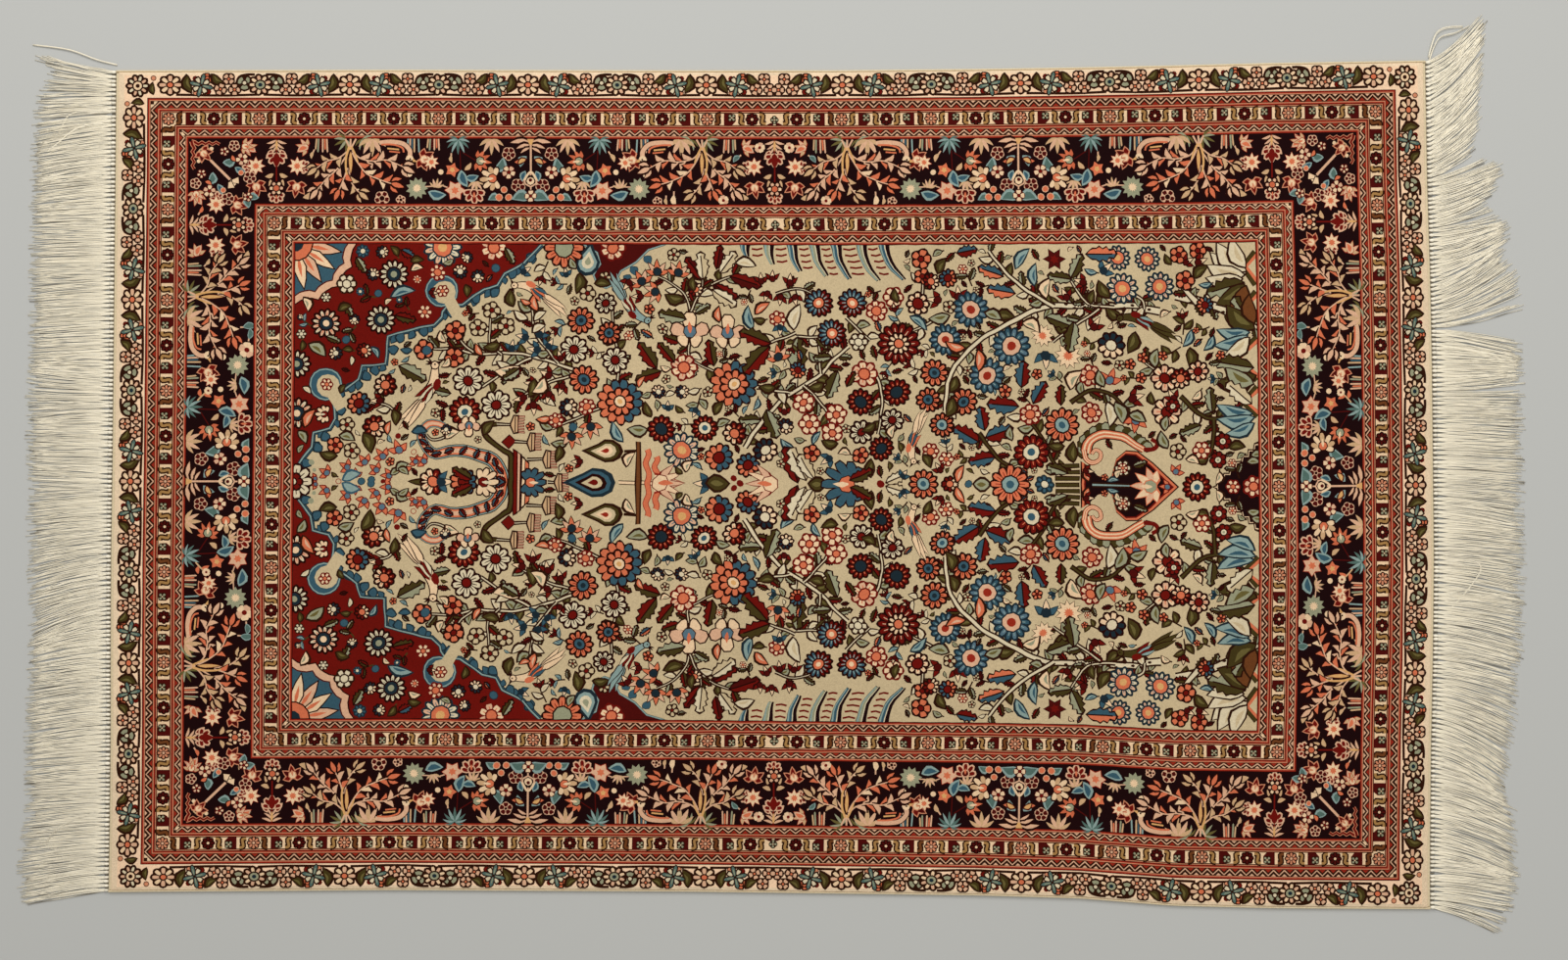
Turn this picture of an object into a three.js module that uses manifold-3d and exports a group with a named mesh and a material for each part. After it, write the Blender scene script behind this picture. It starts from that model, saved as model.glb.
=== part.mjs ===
// A small hand-knotted silk rug that lies flat, with a fringe of warp ends along both ends.
// Millimetres, +Z up, +X along the rug's length, +Y towards its far side. The origin is on the
// floor under the middle of the whole rug, fringes included.
import * as THREE from "three";
import { mergeVertices } from "three/addons/utils/BufferGeometryUtils.js";
import Module from "manifold-3d";

const wasm = await Module();
wasm.setup();

// The cloth: nominal half sizes, which the edge tables below vary.
const HALF_LENGTH = 655;
const FLOOR = 0;
const PILE_TOP = 4; // foundation and clipped silk pile together
const EDGE_TOP = 1.2; // where the outermost edge turns under
const BINDING_TOP = 2.8; // overcast side cords
const FLATWOVEN_TOP = 1.8; // the pile-less strip at each end
const FLATWOVEN_WIDTH = 3;
const BINDING_WIDTH = 2.6;
const ROUNDING = 0.9; // how far in an edge reaches its full height

// How far the two long sides lie from the middle line. along runs from -1 at the left end to 1.
const SIDE_ROWS = [
  { along: -1, far: 410.2, near: -406.8 },
  { along: -0.57, far: 410.7, near: -404.8 },
  { along: -0.13, far: 410.2, near: -406.3 },
  { along: 0.1, far: 410.2, near: -408.2 },
  { along: 0.32, far: 411.6, near: -410.2 },
  { along: 0.47, far: 413.1, near: -413.1 },
  { along: 0.61, far: 415.0, near: -420.4 },
  { along: 0.76, far: 417.5, near: -422.8 },
  { along: 1, far: 419.9, near: -423.8 },
];

// Where the two ends lie. across runs from -1 at the near side to 1 at the far side.
const END_ROWS = [
  { across: -1, left: -657.1, right: 655.1 },
  { across: -0.85, left: -656.1, right: 655.1 },
  { across: -0.62, left: -655.1, right: 656.1 },
  { across: -0.4, left: -655.1, right: 658.0 },
  { across: -0.17, left: -654.6, right: 659.0 },
  { across: 0.05, left: -653.2, right: 658.0 },
  { across: 0.27, left: -652.2, right: 657.1 },
  { across: 0.5, left: -651.3, right: 655.1 },
  { across: 0.72, left: -650.3, right: 652.2 },
  { across: 1, left: -649.3, right: 650.3 },
];

// The fringe: a row of knotted warp bundles just outside the cloth, and the strands beyond it.
const FRINGE_GAP = 0.3;
const KNOT_ROW_WIDTH = 3.2;
const KNOT_ROW_TOP = 2.2;
const STRAND_ROOT_WIDTH = 3.2;
const STRAND_TIP_WIDTH = 1.4;
const STRAND_ROOT_TOP = 1.9;
const STRAND_TIP_TOP = 0.9;
const STRAND_STEPS = 4;
const STRAND_BEND = 1.5; // a strand leaves straight and then sweeps sideways
const CORNER_MARGIN = 2.4; // from a corner to the middle of its first strand
const UNEVEN_REACH = 3; // how much longer or shorter single strands are

// How the strands lie. at runs from 0 at the far corner to 1 at the near corner. reach is how far
// a strand goes out from the end, and sweep how far it drifts towards the near side on its way.
const LEFT_FRINGE = {
  strands: 144,
  outward: -1,
  rows: [
    { at: 0, reach: 78, sweep: -16 },
    { at: 0.012, reach: 60, sweep: -8 },
    { at: 0.03, reach: 74, sweep: 2 },
    { at: 0.07, reach: 77, sweep: 11 },
    { at: 0.13, reach: 78, sweep: 4 },
    { at: 0.3, reach: 78, sweep: 2 },
    { at: 0.42, reach: 80, sweep: -2 },
    { at: 0.5, reach: 78, sweep: 0 },
    { at: 0.53, reach: 78, sweep: 3 },
    { at: 0.6, reach: 76, sweep: 19 },
    { at: 0.66, reach: 74, sweep: 24 },
    { at: 0.72, reach: 76, sweep: 11 },
    { at: 0.8, reach: 79, sweep: 10 },
    { at: 0.9, reach: 78, sweep: 2 },
    { at: 0.95, reach: 84, sweep: 12 },
    { at: 1, reach: 82, sweep: 10 },
  ],
};
const RIGHT_FRINGE = {
  strands: 150,
  outward: 1,
  rows: [
    { at: 0, reach: 60, sweep: -43 },
    { at: 0.045, reach: 55, sweep: -45 },
    { at: 0.09, reach: 52, sweep: -43 },
    { at: 0.135, reach: 50, sweep: -40 },
    { at: 0.144, reach: 72, sweep: -18 },
    { at: 0.165, reach: 72, sweep: -20 },
    { at: 0.193, reach: 58, sweep: -17 },
    { at: 0.202, reach: 76, sweep: -10 },
    { at: 0.235, reach: 78, sweep: -26 },
    { at: 0.273, reach: 68, sweep: -34 },
    { at: 0.29, reach: 84, sweep: -36 },
    { at: 0.312, reach: 88, sweep: -28 },
    { at: 0.32, reach: 88, sweep: 16 },
    { at: 0.385, reach: 88, sweep: -8 },
    { at: 0.395, reach: 88, sweep: 2 },
    { at: 0.47, reach: 88, sweep: 0 },
    { at: 0.54, reach: 88, sweep: 8 },
    { at: 0.62, reach: 88, sweep: 13 },
    { at: 0.67, reach: 88, sweep: 19 },
    { at: 0.7, reach: 82, sweep: 15 },
    { at: 0.75, reach: 82, sweep: 30 },
    { at: 0.8, reach: 74, sweep: 31 },
    { at: 0.82, reach: 70, sweep: 34 },
    { at: 0.85, reach: 82, sweep: 26 },
    { at: 0.92, reach: 84, sweep: 26 },
    { at: 0.965, reach: 87, sweep: 8 },
    { at: 0.985, reach: 80, sweep: 10 },
    { at: 1, reach: 68, sweep: 26 },
  ],
};

// A value of a table between its rows.
function between(rows, key, column, value) {
  const last = rows.length - 1;
  let row = rows.findIndex((one) => one[key] >= value);
  row = row < 0 ? last : Math.max(row, 1);
  const [before, after] = [rows[row - 1], rows[row]];
  const share = (value - before[key]) / (after[key] - before[key]);
  return THREE.MathUtils.lerp(before[column], after[column], THREE.MathUtils.clamp(share, 0, 1));
}

// A point of the cloth, from how far along and across it is, with both running from -1 to 1.
function onCloth(along, across) {
  const left = between(END_ROWS, "across", "left", across);
  const right = between(END_ROWS, "across", "right", across);
  const near = between(SIDE_ROWS, "along", "near", along);
  const far = between(SIDE_ROWS, "along", "far", along);
  return [
    THREE.MathUtils.lerp(left, right, (along + 1) / 2),
    THREE.MathUtils.lerp(near, far, (across + 1) / 2),
  ];
}

// The steps of a side's section, from its edge inwards: how far in, and how high the top is.
function edgeSteps(stripWidth, stripTop) {
  return [
    { inset: 0, top: EDGE_TOP },
    { inset: ROUNDING, top: stripTop },
    { inset: stripWidth, top: stripTop },
    { inset: stripWidth + ROUNDING, top: PILE_TOP },
  ];
}

// Lines across a half size: both edges with their steps, and the table's own rows between them.
function gridLines(steps, halfSize, middle) {
  const low = steps.map(({ inset, top }) => ({ at: inset / halfSize - 1, top }));
  const high = low.map(({ at, top }) => ({ at: -at, top })).reverse();
  const inner = middle
    .filter((at) => at > low.at(-1).at && at < high[0].at)
    .map((at) => ({ at, top: PILE_TOP }));
  return [...low, ...inner, ...high];
}

// A closed slab over a grid: its top follows heightAt, its underside lies on the floor.
function slab(columns, rows, pointAt, heightAt) {
  const positions = [];
  const faces = [];
  const count = columns * rows;
  for (const isTop of [true, false]) {
    for (let row = 0; row < rows; row += 1) {
      for (let column = 0; column < columns; column += 1) {
        const [x, y] = pointAt(column, row);
        positions.push(x, y, isTop ? heightAt(column, row) : FLOOR);
      }
    }
  }
  const index = (column, row) => row * columns + column;
  for (let row = 0; row < rows - 1; row += 1) {
    for (let column = 0; column < columns - 1; column += 1) {
      const [a, b] = [index(column, row), index(column + 1, row)];
      const [c, d] = [index(column + 1, row + 1), index(column, row + 1)];
      faces.push(a, b, c, a, c, d);
      faces.push(count + a, count + c, count + b, count + a, count + d, count + c);
    }
  }
  const wall = (a, b) => faces.push(a, count + a, count + b, a, count + b, b);
  for (let column = 0; column < columns - 1; column += 1) {
    wall(index(column, 0), index(column + 1, 0));
    wall(index(column + 1, rows - 1), index(column, rows - 1));
  }
  for (let row = 0; row < rows - 1; row += 1) {
    wall(index(columns - 1, row), index(columns - 1, row + 1));
    wall(index(0, row + 1), index(0, row));
  }
  const geometry = new THREE.BufferGeometry();
  geometry.setAttribute("position", new THREE.Float32BufferAttribute(positions, 3));
  geometry.setIndex(faces);
  return geometry;
}

// The woven cloth: pile field, side cords and flatwoven ends as one solid.
function clothGeometry() {
  const meanHalfWidth = (SIDE_ROWS[0].far - SIDE_ROWS[0].near) / 2;
  const alongLines = gridLines(
    edgeSteps(FLATWOVEN_WIDTH, FLATWOVEN_TOP),
    HALF_LENGTH,
    SIDE_ROWS.map((row) => row.along),
  );
  const acrossLines = gridLines(
    edgeSteps(BINDING_WIDTH, BINDING_TOP),
    meanHalfWidth,
    END_ROWS.map((row) => row.across),
  );
  return slab(
    alongLines.length,
    acrossLines.length,
    (column, row) => onCloth(alongLines[column].at, acrossLines[row].at),
    (column, row) => Math.min(alongLines[column].top, acrossLines[row].top),
  );
}

// The knotted row: a narrow strip that follows the cloth's end, a small gap away from it.
function knotRowGeometry(outward) {
  const insets = outward > 0
    ? [FRINGE_GAP, FRINGE_GAP + KNOT_ROW_WIDTH]
    : [-FRINGE_GAP - KNOT_ROW_WIDTH, -FRINGE_GAP];
  return slab(
    insets.length,
    END_ROWS.length,
    (column, row) => {
      const [x, y] = onCloth(outward, END_ROWS[row].across);
      return [x + insets[column], y];
    },
    () => KNOT_ROW_TOP,
  );
}

// One strand: a three-sided prism that lies on the floor and thins towards its tip. It follows
// the path of its row and ends where its own length ends, so that neighbours stay side by side.
function strandGeometry(root, outward, { reach, sweep }, length) {
  const positions = [];
  const faces = [];
  for (let step = 0; step <= STRAND_STEPS; step += 1) {
    const share = step / STRAND_STEPS;
    const gone = (share * length) / reach;
    const slope = (sweep / reach) * STRAND_BEND * gone ** (STRAND_BEND - 1);
    const side = new THREE.Vector2(slope, outward).normalize();
    const x = root[0] + outward * reach * gone;
    const y = root[1] - sweep * gone ** STRAND_BEND;
    const half = THREE.MathUtils.lerp(STRAND_ROOT_WIDTH, STRAND_TIP_WIDTH, share) / 2;
    positions.push(x + side.x * half, y + side.y * half, FLOOR);
    positions.push(x - side.x * half, y - side.y * half, FLOOR);
    positions.push(x, y, THREE.MathUtils.lerp(STRAND_ROOT_TOP, STRAND_TIP_TOP, share));
  }
  for (let step = 0; step < STRAND_STEPS; step += 1) {
    for (let corner = 0; corner < 3; corner += 1) {
      const [a, b] = [step * 3 + corner, step * 3 + ((corner + 1) % 3)];
      faces.push(a, b + 3, b, a, a + 3, b + 3);
    }
  }
  const tip = STRAND_STEPS * 3;
  faces.push(0, 1, 2, tip, tip + 2, tip + 1);
  const geometry = new THREE.BufferGeometry();
  geometry.setAttribute("position", new THREE.Float32BufferAttribute(positions, 3));
  geometry.setIndex(faces);
  return geometry;
}

// A solid for cutting and joining, from a closed geometry.
function solidOf(geometry) {
  const bare = new THREE.BufferGeometry();
  bare.setAttribute("position", geometry.getAttribute("position"));
  bare.setIndex(geometry.getIndex());
  const merged = mergeVertices(bare);
  const mesh = new wasm.Mesh({
    numProp: 3,
    vertProperties: new Float32Array(merged.getAttribute("position").array),
    triVerts: new Uint32Array(merged.getIndex().array),
  });
  return new wasm.Manifold(mesh);
}

function geometryOf(solid) {
  const mesh = solid.getMesh();
  const geometry = new THREE.BufferGeometry();
  geometry.setAttribute("position", new THREE.Float32BufferAttribute(mesh.vertProperties, 3));
  geometry.setIndex(new THREE.Uint32BufferAttribute(mesh.triVerts, 1));
  return geometry;
}

// A repeatable number from -1 to 1 for each strand.
function unevenness(index) {
  return Math.sin(index * 12.9898 + Math.sin(index * 4.1414) * 3.7);
}

// One end's fringe: all its strands, fused by their roots into the knotted row.
function fringeGeometry({ strands, outward, rows }) {
  let fringe = solidOf(knotRowGeometry(outward));
  const edge = [onCloth(outward, 1)[1] - CORNER_MARGIN, onCloth(outward, -1)[1] + CORNER_MARGIN];
  for (let index = 0; index < strands; index += 1) {
    const at = index / (strands - 1);
    const y = THREE.MathUtils.lerp(edge[0], edge[1], at);
    const [x] = onCloth(outward, 1 - 2 * at);
    const root = [x + outward * (FRINGE_GAP + KNOT_ROW_WIDTH / 2), y];
    const lie = {
      reach: between(rows, "at", "reach", at) - KNOT_ROW_WIDTH / 2,
      sweep: between(rows, "at", "sweep", at),
    };
    const length = lie.reach + UNEVEN_REACH * unevenness(index);
    fringe = fringe.add(solidOf(strandGeometry(root, outward, lie, length)));
  }
  return geometryOf(fringe);
}

function piece(name, geometry, color, roughness) {
  const material = new THREE.MeshStandardMaterial({ color, roughness, metalness: 0 });
  const mesh = new THREE.Mesh(geometry, material);
  mesh.name = name;
  return mesh;
}

const lying = new THREE.Group();
lying.add(
  piece("rug_cloth", clothGeometry(), 0x8c4a3a, 0.6),
  piece("fringe_left", fringeGeometry(LEFT_FRINGE), 0xd9cfb4, 0.85),
  piece("fringe_right", fringeGeometry(RIGHT_FRINGE), 0xd9cfb4, 0.85),
);

// The whole rug is centred over the origin.
const middle = new THREE.Box3().setFromObject(lying, true).getCenter(new THREE.Vector3());
lying.position.set(-middle.x, -middle.y, 0);

const rug = new THREE.Group();
rug.add(lying);
rug.updateMatrixWorld(true);

export default rug;
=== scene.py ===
"""A small silk rug with a knotted pile, laid flat, with its warp ends left as a fringe.

The pattern is drawn as a weaver's chart is: in knots, one quarter of the borders and one half
of the field, which are then repeated in mirror image and pulled to the rug's uneven outline.
"""
import logging
import math
import random
from dataclasses import dataclass, field
from enum import Enum
from typing import NamedTuple, Protocol

import bpy
import numpy as np
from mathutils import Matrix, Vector
from mathutils.geometry import delaunay_2d_cdt


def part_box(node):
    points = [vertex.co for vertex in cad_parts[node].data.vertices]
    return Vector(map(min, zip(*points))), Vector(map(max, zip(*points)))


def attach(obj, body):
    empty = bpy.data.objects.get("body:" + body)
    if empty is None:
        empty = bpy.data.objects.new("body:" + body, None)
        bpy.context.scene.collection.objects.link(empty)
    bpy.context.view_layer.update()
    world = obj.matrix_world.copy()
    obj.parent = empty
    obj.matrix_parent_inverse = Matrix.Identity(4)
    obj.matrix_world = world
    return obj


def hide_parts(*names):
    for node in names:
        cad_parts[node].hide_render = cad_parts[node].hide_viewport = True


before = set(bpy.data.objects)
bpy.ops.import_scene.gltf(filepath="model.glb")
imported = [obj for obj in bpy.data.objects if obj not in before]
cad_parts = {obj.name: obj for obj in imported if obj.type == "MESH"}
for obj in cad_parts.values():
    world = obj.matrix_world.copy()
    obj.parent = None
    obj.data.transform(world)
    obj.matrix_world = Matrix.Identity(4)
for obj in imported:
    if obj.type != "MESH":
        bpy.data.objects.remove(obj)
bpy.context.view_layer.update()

LOG = logging.getLogger("silk_rug")
MM = 0.001
KNOT = 0.972  # one knot of the pile and one step of the charts, in millimetres

# The sizes of the cloth in millimetres, the same as in the part's solids.
PILE_TOP = 4.0
EDGE_TOP = 1.2
BINDING_TOP = 2.8
BINDING_WIDTH = 2.6
FLATWOVEN_TOP = 1.8
FLATWOVEN_WIDTH = 3.0
ROUNDING = 0.9

# The charts' sizes in knots, from the middle of the rug.
CHART_HALF_WIDTH = 427.0
CHART_HALF_LENGTH = 671.3
END_MARGIN = FLATWOVEN_WIDTH / KNOT
SIDE_MARGIN = BINDING_WIDTH / KNOT


def linear(hex_colour: str) -> tuple[float, float, float, float]:
    """Turn an sRGB hex colour into the linear colour that Blender takes.

    Args:
        hex_colour: six hex digits, with or without a leading mark.

    Returns:
        Red, green, blue and alpha.
    """
    digits = hex_colour.lstrip("#")
    parts = [int(digits[i:i + 2], 16) / 255 for i in (0, 2, 4)]
    return tuple(p / 12.92 if p <= 0.04045 else ((p + 0.055) / 1.055) ** 2.4 for p in parts) + (1.0,)


class Silk(Enum):
    """The dyed silks of the pile."""

    EDGE_CREAM = "#DEC6A6"
    ROSE_CREAM = "#E9C6A4"
    CREAM = "#DEBE98"
    PALE = "#CFC0A0"
    FIELD = "#BFAB86"
    BONE = "#C19C74"
    BLUSH = "#CFA383"
    PINK = "#C4805F"
    CORAL = "#C86A48"
    ORANGE = "#BC6040"
    RED = "#8C2617"
    CRIMSON = "#650F08"
    GARNET = "#470A07"
    MAROON = "#230502"
    BROWN = "#2B1105"
    RUST = "#663A1C"
    GOLD = "#CD9C62"
    TAN = "#9C7544"
    OLIVE = "#3F3415"
    MOSS = "#62582F"
    SAGE = "#8E8E72"
    TEAL = "#4E665E"
    SKY = "#80958F"
    BLUE = "#34525E"
    SLATE = "#526A76"
    INK_BLUE = "#1A272E"
    NAVY = "#190506"


@dataclass(frozen=True)
class EdgeRow:
    """How far the cloth's two opposite edges reach at one place along them."""

    place: float
    low: float
    high: float


SIDE_ROWS = (
    EdgeRow(-1.0, -406.8, 410.2),
    EdgeRow(-0.57, -404.8, 410.7),
    EdgeRow(-0.13, -406.3, 410.2),
    EdgeRow(0.1, -408.2, 410.2),
    EdgeRow(0.32, -410.2, 411.6),
    EdgeRow(0.47, -413.1, 413.1),
    EdgeRow(0.61, -420.4, 415.0),
    EdgeRow(0.76, -422.8, 417.5),
    EdgeRow(1.0, -423.8, 419.9),
)
END_ROWS = (
    EdgeRow(-1.0, -657.1, 655.1),
    EdgeRow(-0.85, -656.1, 655.1),
    EdgeRow(-0.62, -655.1, 656.1),
    EdgeRow(-0.4, -655.1, 658.0),
    EdgeRow(-0.17, -654.6, 659.0),
    EdgeRow(0.05, -653.2, 658.0),
    EdgeRow(0.27, -652.2, 657.1),
    EdgeRow(0.5, -651.3, 655.1),
    EdgeRow(0.72, -650.3, 652.2),
    EdgeRow(1.0, -649.3, 650.3),
)

# Where the ends of the cloth and of its field lie along the rug: chart knots, share of the length.
LENGTH_STEPS = (
    (-CHART_HALF_LENGTH - END_MARGIN, -1.0),
    (-490.7, -0.7242),
    (490.7, 0.7346),
    (CHART_HALF_LENGTH + END_MARGIN, 1.0),
)
WOBBLE = 0.45  # millimetres that a hand-knotted line strays to either side
FIELD_LEAN = 2.2  # millimetres that the middle of the pattern lies nearer than the cloth's middle


class ClothMap:
    """Carries a point of the chart to its place on the uneven cloth."""

    def __init__(self) -> None:
        """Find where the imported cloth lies."""
        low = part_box("rug_cloth")[0]
        self.shift = (
            low[0] / MM - min(row.low for row in END_ROWS),
            low[1] / MM - min(row.low for row in SIDE_ROWS),
        )

    def on_cloth(self, along: np.ndarray, across: np.ndarray) -> np.ndarray:
        """Place points given as shares of the cloth.

        Args:
            along: shares of the length, -1 at the left end and 1 at the right.
            across: shares of the width, -1 at the near side and 1 at the far side.

        Returns:
            The points' X and Y in millimetres.
        """
        sides = [row.place for row in SIDE_ROWS]
        ends = [row.place for row in END_ROWS]
        near = np.interp(along, sides, [row.low for row in SIDE_ROWS])
        far = np.interp(along, sides, [row.high for row in SIDE_ROWS])
        left = np.interp(across, ends, [row.low for row in END_ROWS])
        right = np.interp(across, ends, [row.high for row in END_ROWS])
        x = left + (right - left) * (along + 1) / 2
        y = near + (far - near) * (across + 1) / 2
        return np.stack((x + self.shift[0], y + self.shift[1]), axis=-1)

    def place(self, knots: np.ndarray) -> np.ndarray:
        """Place points of the chart.

        Args:
            knots: X and Y of each point in knots from the chart's middle.

        Returns:
            The points' X and Y in millimetres.
        """
        steps = np.array(LENGTH_STEPS)
        along = np.interp(knots[..., 0], steps[:, 0], steps[:, 1])
        across = knots[..., 1] / CHART_HALF_WIDTH
        points = self.on_cloth(along, across)
        inside = np.clip(1 - across ** 2, 0, 1) * np.clip(1 - along ** 2, 0, 1)
        points[..., 1] -= FIELD_LEAN * inside
        x, y = points[..., 0].copy(), points[..., 1].copy()
        points[..., 0] += WOBBLE * inside * np.sin(0.31 * y + 2.0 * np.sin(0.043 * x))
        points[..., 1] += WOBBLE * inside * np.sin(0.27 * x + 2.0 * np.sin(0.051 * y))
        return points


Point = tuple[float, float]
Outline = list[Point]
Pattern = tuple[np.ndarray, np.ndarray, np.ndarray]  # places in knots, triangles, their colours


class Chart:
    """Coloured outlines laid over each other, cut up so that each spot has one colour."""

    SMALL = 34.0  # an outline that is smaller in knots is a motif, and a larger one a ground
    CELL = 2.0

    def __init__(self, ground: Outline, ink: Silk, step: float = 12.0) -> None:
        """Start the chart with its ground.

        Args:
            ground: the chart's own outline.
            ink: the ground's silk.
            step: the longest edge of the ground's outline, in knots.
        """
        self.points: list[Point] = []
        self.outlines: list[list[int]] = []
        self.inks: list[Silk] = []
        self.taken: set[tuple[int, int]] = set()
        self.fill(divided(ground, step), ink)

    def fill(self, outline: Outline, ink: Silk) -> None:
        """Lay one outline over what is there.

        Args:
            outline: its corners, in either direction.
            ink: its silk.
        """
        if len(outline) == 4 and not is_convex(outline):
            self.fill(outline[:3], ink)
            self.fill([outline[0], outline[2], outline[3]], ink)
            return
        area = sum(a[0] * b[1] - b[0] * a[1] for a, b in zip(outline, outline[1:] + outline[:1]))
        if abs(area) < 0.02:
            return
        corners = outline if area > 0 else outline[::-1]
        start = len(self.points)
        self.points.extend(corners)
        self.outlines.append(list(range(start, len(self.points))))
        self.inks.append(ink)
        xs, ys = [x for x, _ in corners], [y for _, y in corners]
        if max(xs) - min(xs) < self.SMALL and max(ys) - min(ys) < self.SMALL:
            self.block(min(xs), min(ys), max(xs), max(ys))

    def block(self, left: float, low: float, right: float, high: float) -> None:
        """Mark a rectangle as taken."""
        cells = [(int(v // self.CELL)) for v in (left, right, low, high)]
        for i in range(cells[0], cells[1] + 1):
            self.taken.update((i, j) for j in range(cells[2], cells[3] + 1))

    def is_free(self, x: float, y: float, reach: float) -> bool:
        """Tell whether nothing small lies within a square round a point."""
        first, last = int((x - reach) // self.CELL), int((x + reach) // self.CELL)
        low, high = int((y - reach) // self.CELL), int((y + reach) // self.CELL)
        return not any((i, j) in self.taken for i in range(first, last + 1) for j in range(low, high + 1))

    def cut(self) -> Pattern:
        """Cut the outlines into triangles and keep the uppermost silk in each.

        The first cut keeps every hidden line, so a second one is made of the lines between
        different silks alone.

        Returns:
            The points, the triangles and each triangle's colour.
        """
        result = delaunay_2d_cdt([Vector(p) for p in self.points], [], self.outlines, 1, 2e-4, True)
        verts, faces, owners = result[0], result[2], result[5]
        silks = list(Silk)
        order = {ink: i for i, ink in enumerate(silks)}
        left: dict[tuple[int, int], int] = {}
        for face, owner in zip(faces, owners):
            if 0 in owner and len(face) == 3:
                ink = order[self.inks[max(owner)]]
                for a, b in zip(face, face[1:] + face[:1]):
                    left[a, b] = ink
        lines = [(a, b) for (a, b), ink in left.items() if ink != left.get((b, a), -1)]
        lines = [(a, b) for a, b in lines if a < b or (b, a) not in left]
        used = {v: i for i, v in enumerate(sorted({v for line in lines for v in line}))}
        points = [verts[v] for v in used]
        result = delaunay_2d_cdt(points, [(used[a], used[b]) for a, b in lines], [], 0, 1e-6, True)
        verts, edges, faces, _, sources, _ = result
        known: dict[tuple[int, int], int] = {}
        for (a, b), source in zip(edges, sources):
            for line in source[:1]:
                start, end = lines[line]
                along = (verts[b] - verts[a]).dot(points[used[end]] - points[used[start]]) > 0
                inks = (left[start, end], left.get((end, start), -1))
                known[a, b], known[b, a] = inks if along else inks[::-1]
        shades = spread_inks([tuple(face) for face in faces], known)
        kept = [i for i, shade in enumerate(shades) if shade >= 0]
        palette = np.array([linear(ink.value) for ink in silks], dtype=np.float32)
        triangles = np.array([faces[i] for i in kept], dtype=np.int32)
        used_points, triangles = np.unique(triangles, return_inverse=True)
        places = np.array([tuple(verts[i]) for i in used_points], dtype=np.float64)
        return places, triangles.reshape(-1, 3), palette[[shades[i] for i in kept]]


def spread_inks(faces: list[tuple[int, ...]], known: dict[tuple[int, int], int]) -> list[int]:
    """Give every triangle its silk, from the lines that it touches or else from its neighbours.

    Args:
        faces: the triangles.
        known: the silk on the left of each line, by the line's two points.

    Returns:
        Each triangle's silk, -1 outside the chart.
    """
    owner = {(a, b): i for i, face in enumerate(faces) for a, b in zip(face, face[1:] + face[:1])}
    shades = [-2] * len(faces)
    waiting = []
    for (a, b), i in owner.items():
        if (a, b) in known and shades[i] == -2:
            shades[i] = known[a, b]
            waiting.append(i)
    while waiting:
        i = waiting.pop()
        face = faces[i]
        for a, b in zip(face, face[1:] + face[:1]):
            beside = owner.get((b, a))
            if beside is not None and (a, b) not in known and shades[beside] == -2:
                shades[beside] = shades[i]
                waiting.append(beside)
    return shades


def is_convex(outline: Outline) -> bool:
    """Tell whether an outline turns the same way at every corner."""
    around = outline[1:] + outline[:1]
    beyond = outline[2:] + outline[:2]
    turns = [
        (b[0] - a[0]) * (c[1] - b[1]) - (b[1] - a[1]) * (c[0] - b[0])
        for a, b, c in zip(outline, around, beyond)
    ]
    return min(turns) > 0 or max(turns) < 0


def divided(outline: Outline, step: float) -> Outline:
    """Add points along an outline's long edges.

    Args:
        outline: its corners.
        step: the longest edge that is left.

    Returns:
        The outline with the added points.
    """
    result: Outline = []
    for (ax, ay), (bx, by) in zip(outline, outline[1:] + outline[:1]):
        count = max(1, math.ceil(math.hypot(bx - ax, by - ay) / step))
        result.extend((ax + (bx - ax) * i / count, ay + (by - ay) * i / count) for i in range(count))
    return result


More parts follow.
